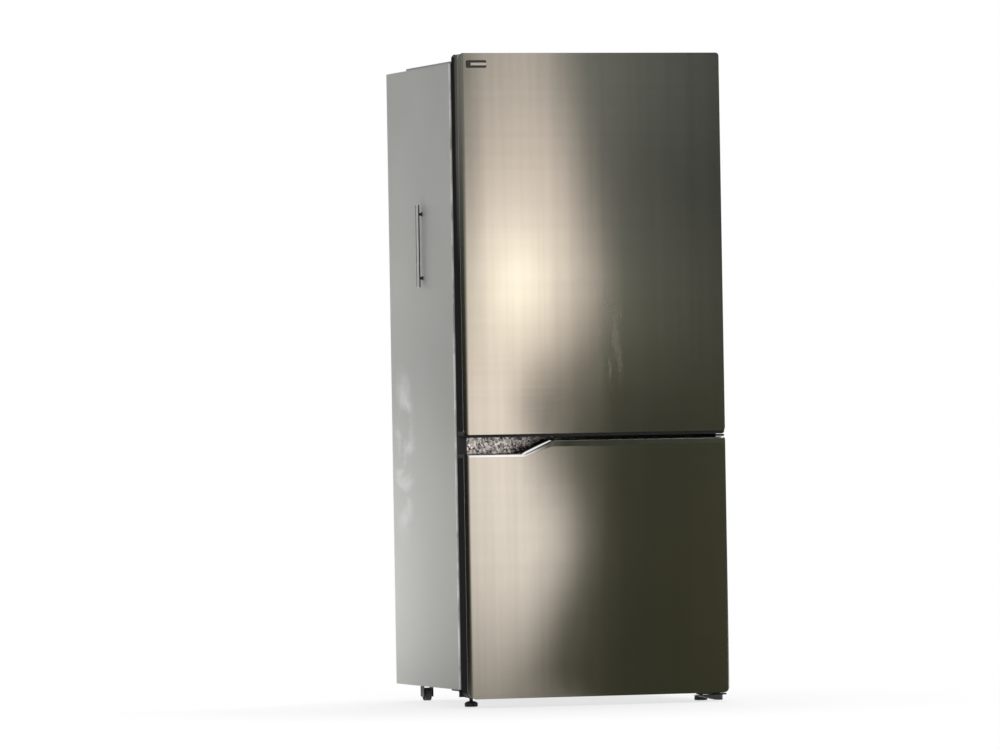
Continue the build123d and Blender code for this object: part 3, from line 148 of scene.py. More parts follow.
def sums(tree, how, first, second=0.0):
    node = tree.nodes.new("ShaderNodeMath")
    node.operation = how
    plug(tree, first, node.inputs[0])
    plug(tree, second, node.inputs[1])
    return node.outputs["Value"]


def product(tree, first, *others):
    for other in others:
        first = sums(tree, "MULTIPLY", first, other)
    return first


def weigh(tree, first, firstShare, second, secondShare):
    return sums(tree, "ADD", product(tree, first, firstShare), product(tree, second, secondShare))


# distance from a spot in a plane, in parts of the reach
def farFrom(tree, across, upright, spot=(0.0, 0.0), reach=(1.0, 1.0)):
    aside = sums(tree, "DIVIDE", sums(tree, "SUBTRACT", across, spot[0]), reach[0])
    above = sums(tree, "DIVIDE", sums(tree, "SUBTRACT", upright, spot[1]), reach[1])
    squares = sums(tree, "ADD", sums(tree, "POWER", aside, 2.0), sums(tree, "POWER", above, 2.0))
    return sums(tree, "SQRT", squares)


# the mix node's colours are its inputs 6 and 7, and its output 2
def tint(tree, amount, first, second):
    node = tree.nodes.new("ShaderNodeMix")
    node.data_type = "RGBA"
    plug(tree, amount, node.inputs[0])
    plug(tree, first, node.inputs[6])
    plug(tree, second, node.inputs[7])
    return node.outputs[2]


def ramp(tree, value, stops):
    node = tree.nodes.new("ShaderNodeValToRGB")
    node.color_ramp.interpolation = "EASE"
    while len(node.color_ramp.elements) < len(stops):
        node.color_ramp.elements.new(0.5)
    for element, (position, grey) in zip(node.color_ramp.elements, stops):
        element.position = position
        element.color = (grey, grey, grey, 1.0)
    tree.links.new(value, node.inputs["Fac"])
    return node.outputs["Color"]


def tinted(tree, colour, amount):
    node = tree.nodes.new("ShaderNodeVectorMath")
    node.operation = "SCALE"
    if isinstance(colour, tuple):
        node.inputs[0].default_value = colour
    else:
        tree.links.new(colour, node.inputs[0])
    tree.links.new(amount, node.inputs["Scale"])
    return node.outputs["Vector"]


def emboss(tree, shader, height, strength, depth):
    bump = tree.nodes.new("ShaderNodeBump")
    bump.inputs["Strength"].default_value = strength
    bump.inputs["Distance"].default_value = depth
    tree.links.new(height, bump.inputs["Height"])
    tree.links.new(bump.outputs["Normal"], shader.inputs["Normal"])


# the levels that most of a noise lies between, and two kinds of noise that many finishes share
noiseSpan = (0.3, 0.7)
broadNoise = {"detail": 4.0, "rough": 0.6}
grainNoise = {"detail": 2.0, "rough": 0.55}

# a moulded, painted or plated finish: two colours in soft clouds, uneven gloss, fine surface grain
mouldedMix = {"grainShare": 0.3, "span": (0.32, 0.98)}


def mouldedFinish(name, s):
    finish, tree, shader = startFinish(name, s.get("sockets", {}))
    broad = cloudy(tree, objectSpace(tree), s["cloud"], **broadNoise)
    fine = cloudy(tree, objectSpace(tree), s["grain"], **grainNoise)
    patch = sums(tree, "ADD", broad, product(tree, fine, mouldedMix["grainShare"]))
    colour = tint(tree, spread(tree, patch, *mouldedMix["span"]), s["first"], s["second"])
    tree.links.new(colour, shader.inputs["Base Color"])
    tree.links.new(spread(tree, broad, *noiseSpan, *s["rough"]), shader.inputs["Roughness"])
    emboss(tree, shader, fine, s["bump"], s["depth"])
    return finish


# brushed stainless of the doors: level brush lines, faint streaks and wipe marks, dark lacquer on the
# folded sides, with a painted highlight making the left side paler near the top
steelFinish = {
    "bright": (0.640, 0.603, 0.548), "dull": (0.612, 0.576, 0.523),
    "line": (2.0, 2.0, 900.0), "lineNoise": (1.0, 3.0, 0.6), "lineShare": 0.6,
    "longLine": (0.5, 0.5, 260.0), "longNoise": (1.0, 2.0, 0.5), "longShare": 0.4,
    "streak": (45.0, 45.0, 0.8), "streakShade": (0.965, 1.035),
    "level": (0.8, 0.8, 45.0), "levelShade": (0.986, 1.014), "weaveNoise": (1.0, 2.0, 0.6),
    "lacquer": (0.018, 0.018, 0.019), "lacquerFrom": (-0.3385, -0.3355),
    "paintedSheen": (0.115, 0.110, 0.100), "paintedSheenAbove": (1.20, 1.50),
    "paintedSheenBack": (-0.318, -0.306, 1.0, 0.0), "paintedSheenSide": (-0.2, -0.1, 1.0, 0.0),
    "wipe": (2.4, 2.4, 0.9), "wipeTurn": (0.0, 0.35, 0.0), "wipeNoise": (2.2, 4.0, 0.62, 0.6),
    "wipeGloss": 0.65, "lineGloss": 0.35, "glossSpan": (0.32, 0.68), "rough": (0.185, 0.245),
    "run": (55.0, 55.0, 7.0), "runTurn": (0.0, 0.12, 0.0), "runNoise": (1.0, 3.0, 0.6),
    "runsAt": (0.045, 1.0), "runsReach": (0.055, 0.19), "runsFade": (0.3, 1.0, 1.0, 0.0),
    "runSpan": (0.52, 0.68), "runsRough": 0.16,
    "bump": 0.03, "depth": 0.0003,
    "sockets": {"Specular IOR Level": 0.0, "Anisotropic": 0.75, "Anisotropic Rotation": 0.25},
}


def makeSteel(s):
    finish, tree, shader = startFinish("brushedStainless", s["sockets"])
    x, y, z = axes(tree)
    lines = cloudy(tree, objectSpace(tree, s["line"]), *s["lineNoise"])
    longLines = cloudy(tree, objectSpace(tree, s["longLine"]), *s["longNoise"])
    brushed = weigh(tree, lines, s["lineShare"], longLines, s["longShare"])
    face = tint(tree, spread(tree, brushed, *noiseSpan), s["dull"], s["bright"])
    streaks = cloudy(tree, objectSpace(tree, s["streak"]), *s["weaveNoise"])
    levels = cloudy(tree, objectSpace(tree, s["level"]), *s["weaveNoise"])
    upright = spread(tree, streaks, *noiseSpan, *s["streakShade"])
    flat = spread(tree, levels, *noiseSpan, *s["levelShade"])
    face = tinted(tree, face, product(tree, upright, flat))

    # painted highlight: the front of the left side, above the middle, made paler towards the top in place
    # of a reflection
    paintedSheen = product(tree, spread(tree, z, *s["paintedSheenAbove"]), spread(tree, y, *s["paintedSheenBack"]))
    paintedSheen = product(tree, paintedSheen, spread(tree, x, *s["paintedSheenSide"]))
    lacquer = tint(tree, paintedSheen, s["lacquer"], s["paintedSheen"])
    side = spread(tree, y, *s["lacquerFrom"])
    tree.links.new(tint(tree, side, face, lacquer), shader.inputs["Base Color"])
    tree.links.new(sums(tree, "SUBTRACT", 1.0, side), shader.inputs["Metallic"])

    wipes = cloudy(tree, objectSpace(tree, s["wipe"], s["wipeTurn"]), *s["wipeNoise"])
    uneven = weigh(tree, wipes, s["wipeGloss"], lines, s["lineGloss"])
    gloss = spread(tree, uneven, *s["glossSpan"], *s["rough"])
    near = farFrom(tree, x, z, s["runsAt"], s["runsReach"])
    runs = cloudy(tree, objectSpace(tree, s["run"], s["runTurn"]), *s["runNoise"])
    marked = product(tree, spread(tree, near, *s["runsFade"], True), spread(tree, runs, *s["runSpan"]))
    gloss = sums(tree, "ADD", gloss, product(tree, marked, s["runsRough"]))
    tree.links.new(gloss, shader.inputs["Roughness"])
    emboss(tree, shader, lines, s["bump"], s["depth"])
    return finish


# zinc coat with its crystal flakes
zincGrain = {"bent": (160.0, 3.0, 0.6), "bentShare": 0.4, "flakeShare": 0.7, "bump": 0.25, "depth": 0.0004}
zincFinish = {
    "pale": (0.60, 0.605, 0.61), "dark": (0.45, 0.455, 0.465),
    "flake": 95.0, "contrast": (0.2, 0.9), "rough": (0.34, 0.5),
    "sockets": {"Metallic": 0.45},
}
# the same on the divider plate: finer, with more contrast, and painted shade making it dark towards the
# right
stripZinc = {
    "pale": (0.76, 0.75, 0.74), "dark": (0.07, 0.055, 0.068),
    "flake": 185.0, "contrast": (0.25, 0.85), "rough": (0.14, 0.34),
    "seamShade": (0.11, 0.11, 0.112), "dimFrom": (-0.15, 0.0),
    "sockets": {"Metallic": 1.0},
}


def makeZinc(name, s):
    finish, tree, shader = startFinish(name, s["sockets"])
    bent = cloudy(tree, objectSpace(tree), *zincGrain["bent"])
    flakes = cells(tree, objectSpace(tree), s["flake"])
    shade = tree.nodes.new("ShaderNodeSeparateColor")
    tree.links.new(flakes.outputs["Color"], shade.inputs["Color"])
    mixed = weigh(tree, shade.outputs["Red"], zincGrain["flakeShare"], bent, zincGrain["bentShare"])
    colour = tint(tree, spread(tree, mixed, *s["contrast"]), s["dark"], s["pale"])
    # painted shade: the plate's right part, seen only through the seam between the doors, is made near
    # black
    if "seamShade" in s:
        colour = tint(tree, spread(tree, axes(tree)[0], *s["dimFrom"]), colour, s["seamShade"])
    tree.links.new(colour, shader.inputs["Base Color"])
    tree.links.new(spread(tree, shade.outputs["Green"], 0.0, 1.0, *s["rough"]), shader.inputs["Roughness"])
    emboss(tree, shader, mixed, zincGrain["bump"], zincGrain["depth"])
    return finish


# rigid foam: the walls of small bubbles over soft clouds
foamFinish = {
    "first": (0.80, 0.70, 0.45), "second": (0.88, 0.80, 0.58), "rough": 0.85,
    "bubble": 420.0, "wall": (0.0, 0.12, 1.0, 0.0), "wallShare": 0.4,
    "cloud": 9.0, "cloudShare": 0.7, "span": (0.2, 0.8), "bump": 0.5, "depth": 0.0006,
}


def makeFoam(s):
    finish, tree, shader = startFinish("rigidFoam", {"Roughness": s["rough"]})
    bubbles = cells(tree, objectSpace(tree), s["bubble"], True)
    broad = cloudy(tree, objectSpace(tree), s["cloud"], **broadNoise)
    wall = spread(tree, bubbles.outputs["Distance"], *s["wall"])
    mixed = weigh(tree, wall, s["wallShare"], broad, s["cloudShare"])
    colour = tint(tree, spread(tree, mixed, *s["span"]), s["first"], s["second"])
    tree.links.new(colour, shader.inputs["Base Color"])
    emboss(tree, shader, wall, s["bump"], s["depth"])
    return finish


# see-through finishes keep a faint haze in the gloss and a faint ripple
clearMix = {"span": (0.35, 0.65), "rippleDetail": 2.0, "bump": 0.04, "depth": 0.0004}


def clearFinish(name, s):
    finish, tree, shader = startFinish(name, s["sockets"])
    haze = cloudy(tree, objectSpace(tree), s["haze"], **broadNoise)
    colour = tint(tree, spread(tree, haze, *clearMix["span"]), s["first"], s["second"])
    tree.links.new(colour, shader.inputs["Base Color"])
    tree.links.new(spread(tree, haze, *noiseSpan, *s["rough"]), shader.inputs["Roughness"])
    ripple = cloudy(tree, objectSpace(tree), s["ripple"], clearMix["rippleDetail"])
    emboss(tree, shader, ripple, clearMix["bump"], clearMix["depth"])
    return finish


# satin paint of the walls: painted shading in bands by height, a painted reflection as pale hazy streaks on
# the left wall below the middle, a painted highlight on the front edge, and painted shade making the fold
# behind the doors dark
satinPaint = {
    "first": (0.322, 0.324, 0.303), "second": (0.355, 0.357, 0.333), "cloud": 3.5, "grain": 900.0,
    "shadeByHeight": ((0.0, 0.92), (0.1, 0.99), (0.29, 1.0), (0.5, 0.84), (0.68, 0.99), (1.0, 1.0)),
    "shadeByHeightTop": 1.8, "shadeByHeightGain": 1.07,
    "reflectionStreak": (1.0, 5.0, 11.0), "reflectionStreakNoise": (1.0, 3.0, 0.55, 0.4),
    "haze": (0.60, 0.60, 0.60), "reflectionAt": (0.23, 0.70), "reflectionReach": (0.13, 0.30),
    "reflectionFade": (0.35, 1.0, 1.0, 0.0), "reflectionSpan": (0.46, 0.66), "reflectionSide": (-0.1, 0.1, 0.75, 0.0),
    "edge": (0.78, 0.78, 0.76), "edgeHighlightSpan": (0.35, 0.6),
    "edgeHighlightFront": (-0.2545, -0.2590), "edgeHighlightSide": (0.3706, 0.3716),
    "foldShadow": (0.020, 0.020, 0.021), "foldShadowFront": (-0.2634, -0.2641), "foldShadowSide": (0.3712, 0.3698),
    "rough": (0.36, 0.48), "bump": 0.05, "depth": 0.0003,
    "sockets": {"Coat Weight": 0.12, "Coat Roughness": 0.3},
}


def makePaint(s):
    finish, tree, shader = startFinish("satinPaint", s["sockets"])
    x, y, z = axes(tree)
    broad = cloudy(tree, objectSpace(tree), s["cloud"], **broadNoise)
    fine = cloudy(tree, objectSpace(tree), s["grain"], **grainNoise)
    coat = tint(tree, spread(tree, broad, *noiseSpan), s["first"], s["second"])
    # painted shade and light: the coat darkened and lightened in bands up the wall
    shadeByHeight = ramp(tree, spread(tree, z, 0.0, s["shadeByHeightTop"]), s["shadeByHeight"])
    coat = tinted(tree, coat, product(tree, shadeByHeight, s["shadeByHeightGain"]))

    # painted reflection: pale hazy streaks on the left wall below the middle, in the colour of the haze
    # entry
    away = farFrom(tree, y, z, s["reflectionAt"], s["reflectionReach"])
    reflectionStreak = cloudy(tree, objectSpace(tree, s["reflectionStreak"]), *s["reflectionStreakNoise"])
    haze = product(tree, spread(tree, away, *s["reflectionFade"], True), spread(tree, reflectionStreak, *s["reflectionSpan"]))
    coat = tint(tree, product(tree, haze, spread(tree, x, *s["reflectionSide"])), coat, s["haze"])

    outward = sums(tree, "ABSOLUTE", x)
    # painted highlight: the rolled front edge of each wall made paler, broken into streaks
    edgeHighlight = product(tree, spread(tree, y, *s["edgeHighlightFront"]), spread(tree, outward, *s["edgeHighlightSide"]))
    coat = tint(tree, product(tree, edgeHighlight, spread(tree, reflectionStreak, *s["edgeHighlightSpan"])), coat, s["edge"])
    # painted shade: the front fold behind the doors made near black
    shadowedFold = product(tree, spread(tree, y, *s["foldShadowFront"]), spread(tree, outward, *s["foldShadowSide"]))
    coat = tint(tree, shadowedFold, coat, s["foldShadow"])
    tree.links.new(coat, shader.inputs["Base Color"])
    tree.links.new(spread(tree, broad, *noiseSpan, *s["rough"]), shader.inputs["Roughness"])
    emboss(tree, shader, fine, s["bump"], s["depth"])
    return finish


# bare badge: a pale bar on a dark plate
badgeFinish = {
    "plate": (0.10, 0.09, 0.08), "bar": (1.0, 0.98, 0.92),
    "at": (-0.3175, 1.744), "half": (0.022, 0.0029), "soft": 0.001,
    "brush": (60.0, 60.0, 900.0), "brushNoise": (1.0, 3.0), "brushShade": (0.2, 0.8, 0.7, 1.0),
    "rough": (0.2, 0.36), "bump": 0.5, "depth": 0.0004,
    "sockets": {"Metallic": 0.9},
}


def makeBadge(s):
    finish, tree, shader = startFinish("badgeBare", s["sockets"])
    x, _, z = axes(tree)
    bar = 1.0
    for axis, middle, half in zip((x, z), s["at"], s["half"]):
        aside = sums(tree, "ABSOLUTE", sums(tree, "SUBTRACT", axis, middle))
        bar = product(tree, spread(tree, aside, half, half + s["soft"], 1.0, 0.0), bar)
    brushed = cloudy(tree, objectSpace(tree, s["brush"]), *s["brushNoise"])
    shade = product(tree, bar, spread(tree, brushed, *s["brushShade"]))
    tree.links.new(tint(tree, shade, s["plate"], s["bar"]), shader.inputs["Base Color"])
    tree.links.new(spread(tree, brushed, *noiseSpan, *s["rough"]), shader.inputs["Roughness"])
    emboss(tree, shader, bar, s["bump"], s["depth"])
    return finish


# rail: a painted highlight as a bright stripe down its middle as seen from the camera, with painted shade
# on both sides of it
railSteel = {
    "pale": (0.95, 0.95, 0.93), "dark": (0.030, 0.030, 0.029),
    "axis": (-0.3868, 0.023), "facing": (0.955, -0.295), "glintStripe": (0.0021, 0.0036, 1.0, 0.0),
    "drawn": (700.0, 700.0, 30.0), "drawnNoise": (1.0, 3.0), "drawnShade": (0.8, 1.0),
    "rough": (0.2, 0.32), "bump": 0.02, "depth": 0.0002,
    "sockets": {"Metallic": 0.0, "Specular IOR Level": 0.3},
}


def makeRail(s):
    finish, tree, shader = startFinish("railSteel", s["sockets"])
    x, y, _ = axes(tree)
    drawn = cloudy(tree, objectSpace(tree, s["drawn"]), *s["drawnNoise"])
    fromAxis = [sums(tree, "SUBTRACT", axis, middle) for axis, middle in zip((x, y), s["axis"])]
    aside = weigh(tree, fromAxis[0], s["facing"][0], fromAxis[1], s["facing"][1])
    # painted highlight and shade: pale within a stripe across the view direction, dark outside it
    paintedGlint = spread(tree, sums(tree, "ABSOLUTE", aside), *s["glintStripe"])
    shade = product(tree, paintedGlint, spread(tree, drawn, *noiseSpan, *s["drawnShade"]))
    tree.links.new(tint(tree, shade, s["dark"], s["pale"]), shader.inputs["Base Color"])
    tree.links.new(spread(tree, drawn, *noiseSpan, *s["rough"]), shader.inputs["Roughness"])
    emboss(tree, shader, drawn, s["bump"], s["depth"])
    return finish


# chrome of the handle trim: sides left dark, and a painted shade line below its slanted edge
trimChrome = {
    "first": (0.74, 0.74, 0.74), "second": (0.86, 0.86, 0.86), "cloud": 26.0, "cloudSpan": (0.32, 0.68),
    "bare": (0.018, 0.018, 0.019), "bareFrom": (-0.3395, -0.3365),
    "slant": (-0.210, -0.131), "step": 0.036, "lineShare": 0.8, "shadeLineStart": 0.012,
    "line": (-0.0042, -0.0054), "shadeLineEnd": (-0.0086, -0.0068),
    "rough": (0.05, 0.13), "grain": 500.0, "bump": 0.02, "depth": 0.0002,
    "sockets": {"Specular IOR Level": 0.0},
}


def makeTrim(s):
    finish, tree, shader = startFinish("trimChrome", s["sockets"])
    x, y, z = axes(tree)
    broad = cloudy(tree, objectSpace(tree), s["cloud"], **broadNoise)
    colour = tint(tree, spread(tree, broad, *s["cloudSpan"]), s["first"], s["second"])
    # painted shade: a dark line just below the slanted top edge, in the same dark as the sides
    start, end = s["slant"]
    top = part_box("handle_trim")[1].z
    slope = math.atan2(s["step"], end - start)
    across = sums(tree, "SUBTRACT", x, start)
    upright = sums(tree, "SUBTRACT", z, top - s["step"])
    below = weigh(tree, across, -math.sin(slope), upright, math.cos(slope))
    line = product(tree, spread(tree, below, *s["line"]), spread(tree, below, *s["shadeLineEnd"]))
    line = product(tree, line, spread(tree, x, start, start + s["shadeLineStart"], 0.0, s["lineShare"]))
    side = spread(tree, y, *s["bareFrom"])
    colour = tint(tree, sums(tree, "MAXIMUM", side, line), colour, s["bare"])
    tree.links.new(colour, shader.inputs["Base Color"])
    tree.links.new(sums(tree, "SUBTRACT", 1.0, side), shader.inputs["Metallic"])
    tree.links.new(spread(tree, broad, *noiseSpan, *s["rough"]), shader.inputs["Roughness"])
    fine = cloudy(tree, objectSpace(tree), s["grain"], **grainNoise)
    emboss(tree, shader, fine, s["bump"], s["depth"])
    return finish


# settings of the moulded, painted and plated finishes
greyPlastic = {
    "first": (0.31, 0.31, 0.305), "second": (0.35, 0.35, 0.345),
    "cloud": 6.0, "grain": 1100.0, "rough": (0.4, 0.52), "bump": 0.1, "depth": 0.0003,
}
backBoard = {
    "first": (0.50, 0.51, 0.52), "second": (0.58, 0.59, 0.60),
    "cloud": 5.0, "grain": 700.0, "rough": (0.5, 0.7), "bump": 0.12, "depth": 0.0004,
}
whiteLiner = {
    "first": (0.825, 0.835, 0.840), "second": (0.868, 0.873, 0.873),
    "cloud": 2.2, "grain": 650.0, "rough": (0.27, 0.33), "bump": 0.05, "depth": 0.0003,
}
darkPlastic = {
    "first": (0.020, 0.020, 0.022), "second": (0.036, 0.036, 0.038),
    "cloud": 14.0, "grain": 1300.0, "rough": (0.42, 0.6), "bump": 0.18, "depth": 0.0003,
}
hingePaint = {
    "first": (0.014, 0.014, 0.015), "second": (0.030, 0.030, 0.031),
    "cloud": 20.0, "grain": 1100.0, "rough": (0.32, 0.5), "bump": 0.12, "depth": 0.0003,
}
screwPlate = {
    "first": (0.50, 0.50, 0.49), "second": (0.66, 0.66, 0.65),
    "cloud": 120.0, "grain": 1600.0, "rough": (0.2, 0.36), "bump": 0.06, "depth": 0.0002,
    "sockets": {"Metallic": 1.0},
}
coverPaint = {
    "first": (0.085, 0.085, 0.088), "second": (0.13, 0.13, 0.135),
    "cloud": 8.0, "grain": 1000.0, "rough": (0.42, 0.58), "bump": 0.12, "depth": 0.0003,
}
capPlastic = {
    "first": (0.016, 0.016, 0.017), "second": (0.028, 0.028, 0.029),
    "cloud": 14.0, "grain": 1300.0, "rough": (0.5, 0.66), "bump": 0.18, "depth": 0.0003,
    "sockets": {"Specular IOR Level": 0.12},
}
sealVinyl = {
    "first": (0.040, 0.040, 0.042), "second": (0.070, 0.070, 0.072),
    "cloud": 18.0, "grain": 900.0, "rough": (0.5, 0.68), "bump": 0.15, "depth": 0.0003,
}
dialPlastic = {
    "first": (0.66, 0.67, 0.69), "second": (0.74, 0.75, 0.77),
    "cloud": 30.0, "grain": 1200.0, "rough": (0.3, 0.42), "bump": 0.08, "depth": 0.0002,
}
lensFrost = {
    "first": (0.86, 0.86, 0.84), "second": (0.93, 0.93, 0.91),
    "cloud": 40.0, "grain": 1500.0, "rough": (0.38, 0.52), "bump": 0.1, "depth": 0.0002,
    "sockets": {"Transmission Weight": 0.45},
}
finPlain = {
    "first": (0.66, 0.67, 0.68), "second": (0.80, 0.81, 0.82),
    "cloud": 60.0, "grain": 900.0, "rough": (0.3, 0.48), "bump": 0.08, "depth": 0.0002,
    "sockets": {"Metallic": 1.0},
}
copperDrawn = {
    "first": (0.52, 0.24, 0.12), "second": (0.74, 0.40, 0.25),
    "cloud": 45.0, "grain": 700.0, "rough": (0.22, 0.42), "bump": 0.06, "depth": 0.0002,
    "sockets": {"Metallic": 1.0},
}
footNylon = {
    "first": (0.018, 0.018, 0.018), "second": (0.034, 0.034, 0.033),
    "cloud": 60.0, "grain": 1400.0, "rough": (0.5, 0.68), "bump": 0.15, "depth": 0.0002,
}
# settings of the see-through finishes
shelfGlass = {
    "first": (0.86, 0.94, 0.92), "second": (0.91, 0.97, 0.955),
    "haze": 6.0, "ripple": 12.0, "rough": (0.0, 0.05),
    "sockets": {"Transmission Weight": 1.0, "IOR": 1.5},
}
clearTub = {
    "first": (0.925, 0.945, 0.955), "second": (0.955, 0.970, 0.975),
    "haze": 8.0, "ripple": 30.0, "rough": (0.05, 0.14),
    "sockets": {"Transmission Weight": 0.92, "IOR": 1.42},
}

finishes = {
    "painted": makePaint(satinPaint),
    "zinc": makeZinc("zincFlake", zincFinish),
    "board": mouldedFinish("backBoard", backBoard),
    "foam": makeFoam(foamFinish),
    "liner": mouldedFinish("whiteLiner", whiteLiner),
    "grey_plastic": mouldedFinish("greyPlastic", greyPlastic),
    "dark_plastic": mouldedFinish("darkPlastic", darkPlastic),
    "hinge_steel": mouldedFinish("hingePaint", hingePaint),
    "screw_steel": mouldedFinish("screwPlate", screwPlate),
    "cover_steel": mouldedFinish("coverPaint", coverPaint),
    "steel": makeSteel(steelFinish),
    "trim_chrome": makeTrim(trimChrome),
    "seal_rubber": mouldedFinish("sealVinyl", sealVinyl),
    "glass": clearFinish("shelfGlass", shelfGlass),
    "clear_plastic": clearFinish("clearTub", clearTub),
    "lens": mouldedFinish("lensFrost", lensFrost),
    "dial": mouldedFinish("dialPlastic", dialPlastic),
    "fin_aluminium": mouldedFinish("finPlain", finPlain),
    "copper": mouldedFinish("copperDrawn", copperDrawn),
    "foot_plastic": mouldedFinish("footNylon", footNylon),
}
doorCap = mouldedFinish("capPlastic", capPlastic)
ownFinish = {
    "upper_door_caps": doorCap,
    "lower_door_top_cap": doorCap,
    "lower_door_bottom_cap": doorCap,
    "badge_plate": makeBadge(badgeFinish),
    "side_rail": makeRail(railSteel),
    "divider_plate": makeZinc("stripZinc", stripZinc),
}
slotOf = {part["node"]: part["material_slot"] for part in frame["record"]["subparts"]}
for node, piece in frame["nodes"].items():
    for place in piece.material_slots:
        place.material = ownFinish.get(node) or finishes[slotOf[node]]
print("finishes: %d, on %d nodes" % (len(finishes), len(slotOf)))


def makeObject(shape, name):
    mesh = bpy.data.meshes.new(name)
    shape.to_mesh(mesh)
    shape.free()
    made = bpy.data.objects.new(name, mesh)
    scene.collection.objects.link(made)
    return made


# new pieces are made in place, given a finish and set to ride on their body
def keepPiece(shape, name, body, slot):
    piece = makeObject(shape, name)
    piece.data.materials.append(finishes[slot])
    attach(piece, body)


# cross-head screws that hold the rear flanges and the rear cover
rearScrews = {
    "radius": 0.0045, "sides": 20, "rise": 0.0016, "shoulder": 0.5, "crown": 0.76, "turnStep": 0.7,
    "crossLong": 0.0024, "crossHalf": 0.0005, "crossDeep": 0.0008,
    "flangeX": 0.365, "flangeHeights": (0.29, 0.58, 0.87, 1.16, 1.45, 1.72, 0.088, 0.212),
    "coverTop": (-0.25, 0.0, 0.25), "coverLow": (-0.3, -0.1, 0.1), "coverInset": 0.008,
}


def addScrewHead(shape, s, place):
    made = bmesh.ops.create_circle(shape, cap_ends=True, segments=s["sides"], radius=s["radius"])
    head = list(made["verts"])
    ring = [edge for edge in shape.edges if all(v in head for v in edge.verts)]
    for lift, shrink in ((s["rise"] * s["shoulder"], 1.0), (s["rise"] * (1.0 - s["shoulder"]), s["crown"])):
        grown = bmesh.ops.extrude_edge_only(shape, edges=ring)["geom"]
        moved = [g for g in grown if isinstance(g, bmesh.types.BMVert)]
        ring = [g for g in grown if isinstance(g, bmesh.types.BMEdge) and all(v in moved for v in g.verts)]
        bmesh.ops.translate(shape, verts=moved, vec=(0.0, 0.0, lift))
        bmesh.ops.scale(shape, verts=moved, vec=(shrink, shrink, 1.0))
        head += moved
    arm, half = s["crossLong"], s["crossHalf"]
    corner = ((arm, -half), (arm, half), (half, half))
    cross = []
    for quarter in range(4):
        turn = Matrix.Rotation(quarter * math.pi / 2, 2)
        cross += [shape.verts.new((*(turn @ Vector(c)), s["rise"])) for c in corner]
    rim = [shape.edges.new((v, cross[(n + 1) % len(cross)])) for n, v in enumerate(cross)]
    bmesh.ops.bridge_loops(shape, edges=ring + rim)
    sunk = bmesh.ops.extrude_edge_only(shape, edges=rim)["geom"]
    low = [g for g in sunk if isinstance(g, bmesh.types.BMVert)]
    bmesh.ops.translate(shape, verts=low, vec=(0.0, 0.0, -s["crossDeep"]))
    base = [g for g in sunk if isinstance(g, bmesh.types.BMEdge) and all(v in low for v in g.verts)]
    bmesh.ops.contextual_create(shape, geom=base)
    bmesh.ops.transform(shape, matrix=place, verts=head + cross + low)


def makeRearScrews(s):
    shape = bmesh.new()
    face = Matrix.Rotation(-math.pi / 2, 4, "X")
    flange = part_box("left_side_panel")[1].y
    low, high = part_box("rear_cover")
    spots = [(side * s["flangeX"], flange, z) for side in (-1, 1) for z in s["flangeHeights"]]
    spots += [(x, high.y, high.z - s["coverInset"]) for x in s["coverTop"]]
    spots += [(x, high.y, low.z + s["coverInset"]) for x in s["coverLow"]]
    for n, spot in enumerate(spots):
        turn = Matrix.Rotation(s["turnStep"] * n, 4, "Y")
        addScrewHead(shape, s, Matrix.Translation(spot) @ turn @ face)
    bmesh.ops.recalc_face_normals(shape, faces=shape.faces)
    keepPiece(shape, "rearScrews", "cabinet", "screw_steel")


# plain numbers round the temperature dial and a raised pointer on its grip
dialMarks = {
    "numbers": "12345", "size": 0.0085, "ring": 0.0305, "raise": 0.00015, "sweep": 270.0, "merge": 1e-6,
    "pointer": (0.0085, 0.0014, 0.0008), "pointerAt": 0.0125, "pointerBevel": 0.0003, "bevelSteps": 2,
}


def makeDialMarks(s):
    low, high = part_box("temperature_dial")
    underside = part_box("control_box")[0].z
    middle = (low + high) / 2
    shape = bmesh.new()
    for n, letter in enumerate(s["numbers"]):
        words = bpy.data.curves.new("dialNumber", "FONT")
        words.body = letter
        words.size = s["size"]
        words.extrude = s["raise"]
        words.align_x = "CENTER"
        words.align_y = "CENTER"
        holder = bpy.data.objects.new("dialNumber", words)
        mesh = bpy.data.meshes.new_from_object(holder)
        angle = math.radians(s["sweep"]) * n / (len(s["numbers"]) - 1)
        spot = (middle.x + s["ring"] * math.cos(angle), middle.y - s["ring"] * math.sin(angle), underside)
        mesh.transform(Matrix.Translation(spot) @ Matrix.Rotation(math.pi, 4, "X"))
        shape.from_mesh(mesh)
        bpy.data.objects.remove(holder)
        bpy.data.meshes.remove(mesh)
    bmesh.ops.remove_doubles(shape, verts=shape.verts, dist=s["merge"])
    keepPiece(shape, "dialNumbers", "cabinet", "dark_plastic")

    shape = bmesh.new()
    bmesh.ops.create_cube(shape, size=1.0)
    bmesh.ops.scale(shape, verts=shape.verts, vec=s["pointer"])
    bmesh.ops.bevel(
        shape, geom=shape.edges, offset=s["pointerBevel"], affect="EDGES",
        segments=s["bevelSteps"], profile=0.5, material=-1,
    )
    bmesh.ops.translate(shape, verts=shape.verts, vec=(middle.x + s["pointerAt"], middle.y, low.z))
    keepPiece(shape, "dialPointer", "temperature_dial", "dark_plastic")


makeRearScrews(rearScrews)
makeDialMarks(dialMarks)
print("screws and dial marks made")


# white surround, and a floor that is white to the eye with the object's own shadow near it
room = {
    "fill": 0.5,
    "floorSize": 60.0,
    "floorDrop": 0.0006,
    "floorWhite": 0.84,
    "whiteNear": 0.72,
    "fadeFrom": 0.55,
    "fadeTo": 1.5,
}


def seenDirectly(tree):
    path = tree.nodes.new("ShaderNodeLightPath")
    seen = sums(tree, "MAXIMUM", path.outputs["Is Camera Ray"], path.outputs["Is Glossy Ray"])
    return sums(tree, "MAXIMUM", seen, path.outputs["Is Transmission Ray"])


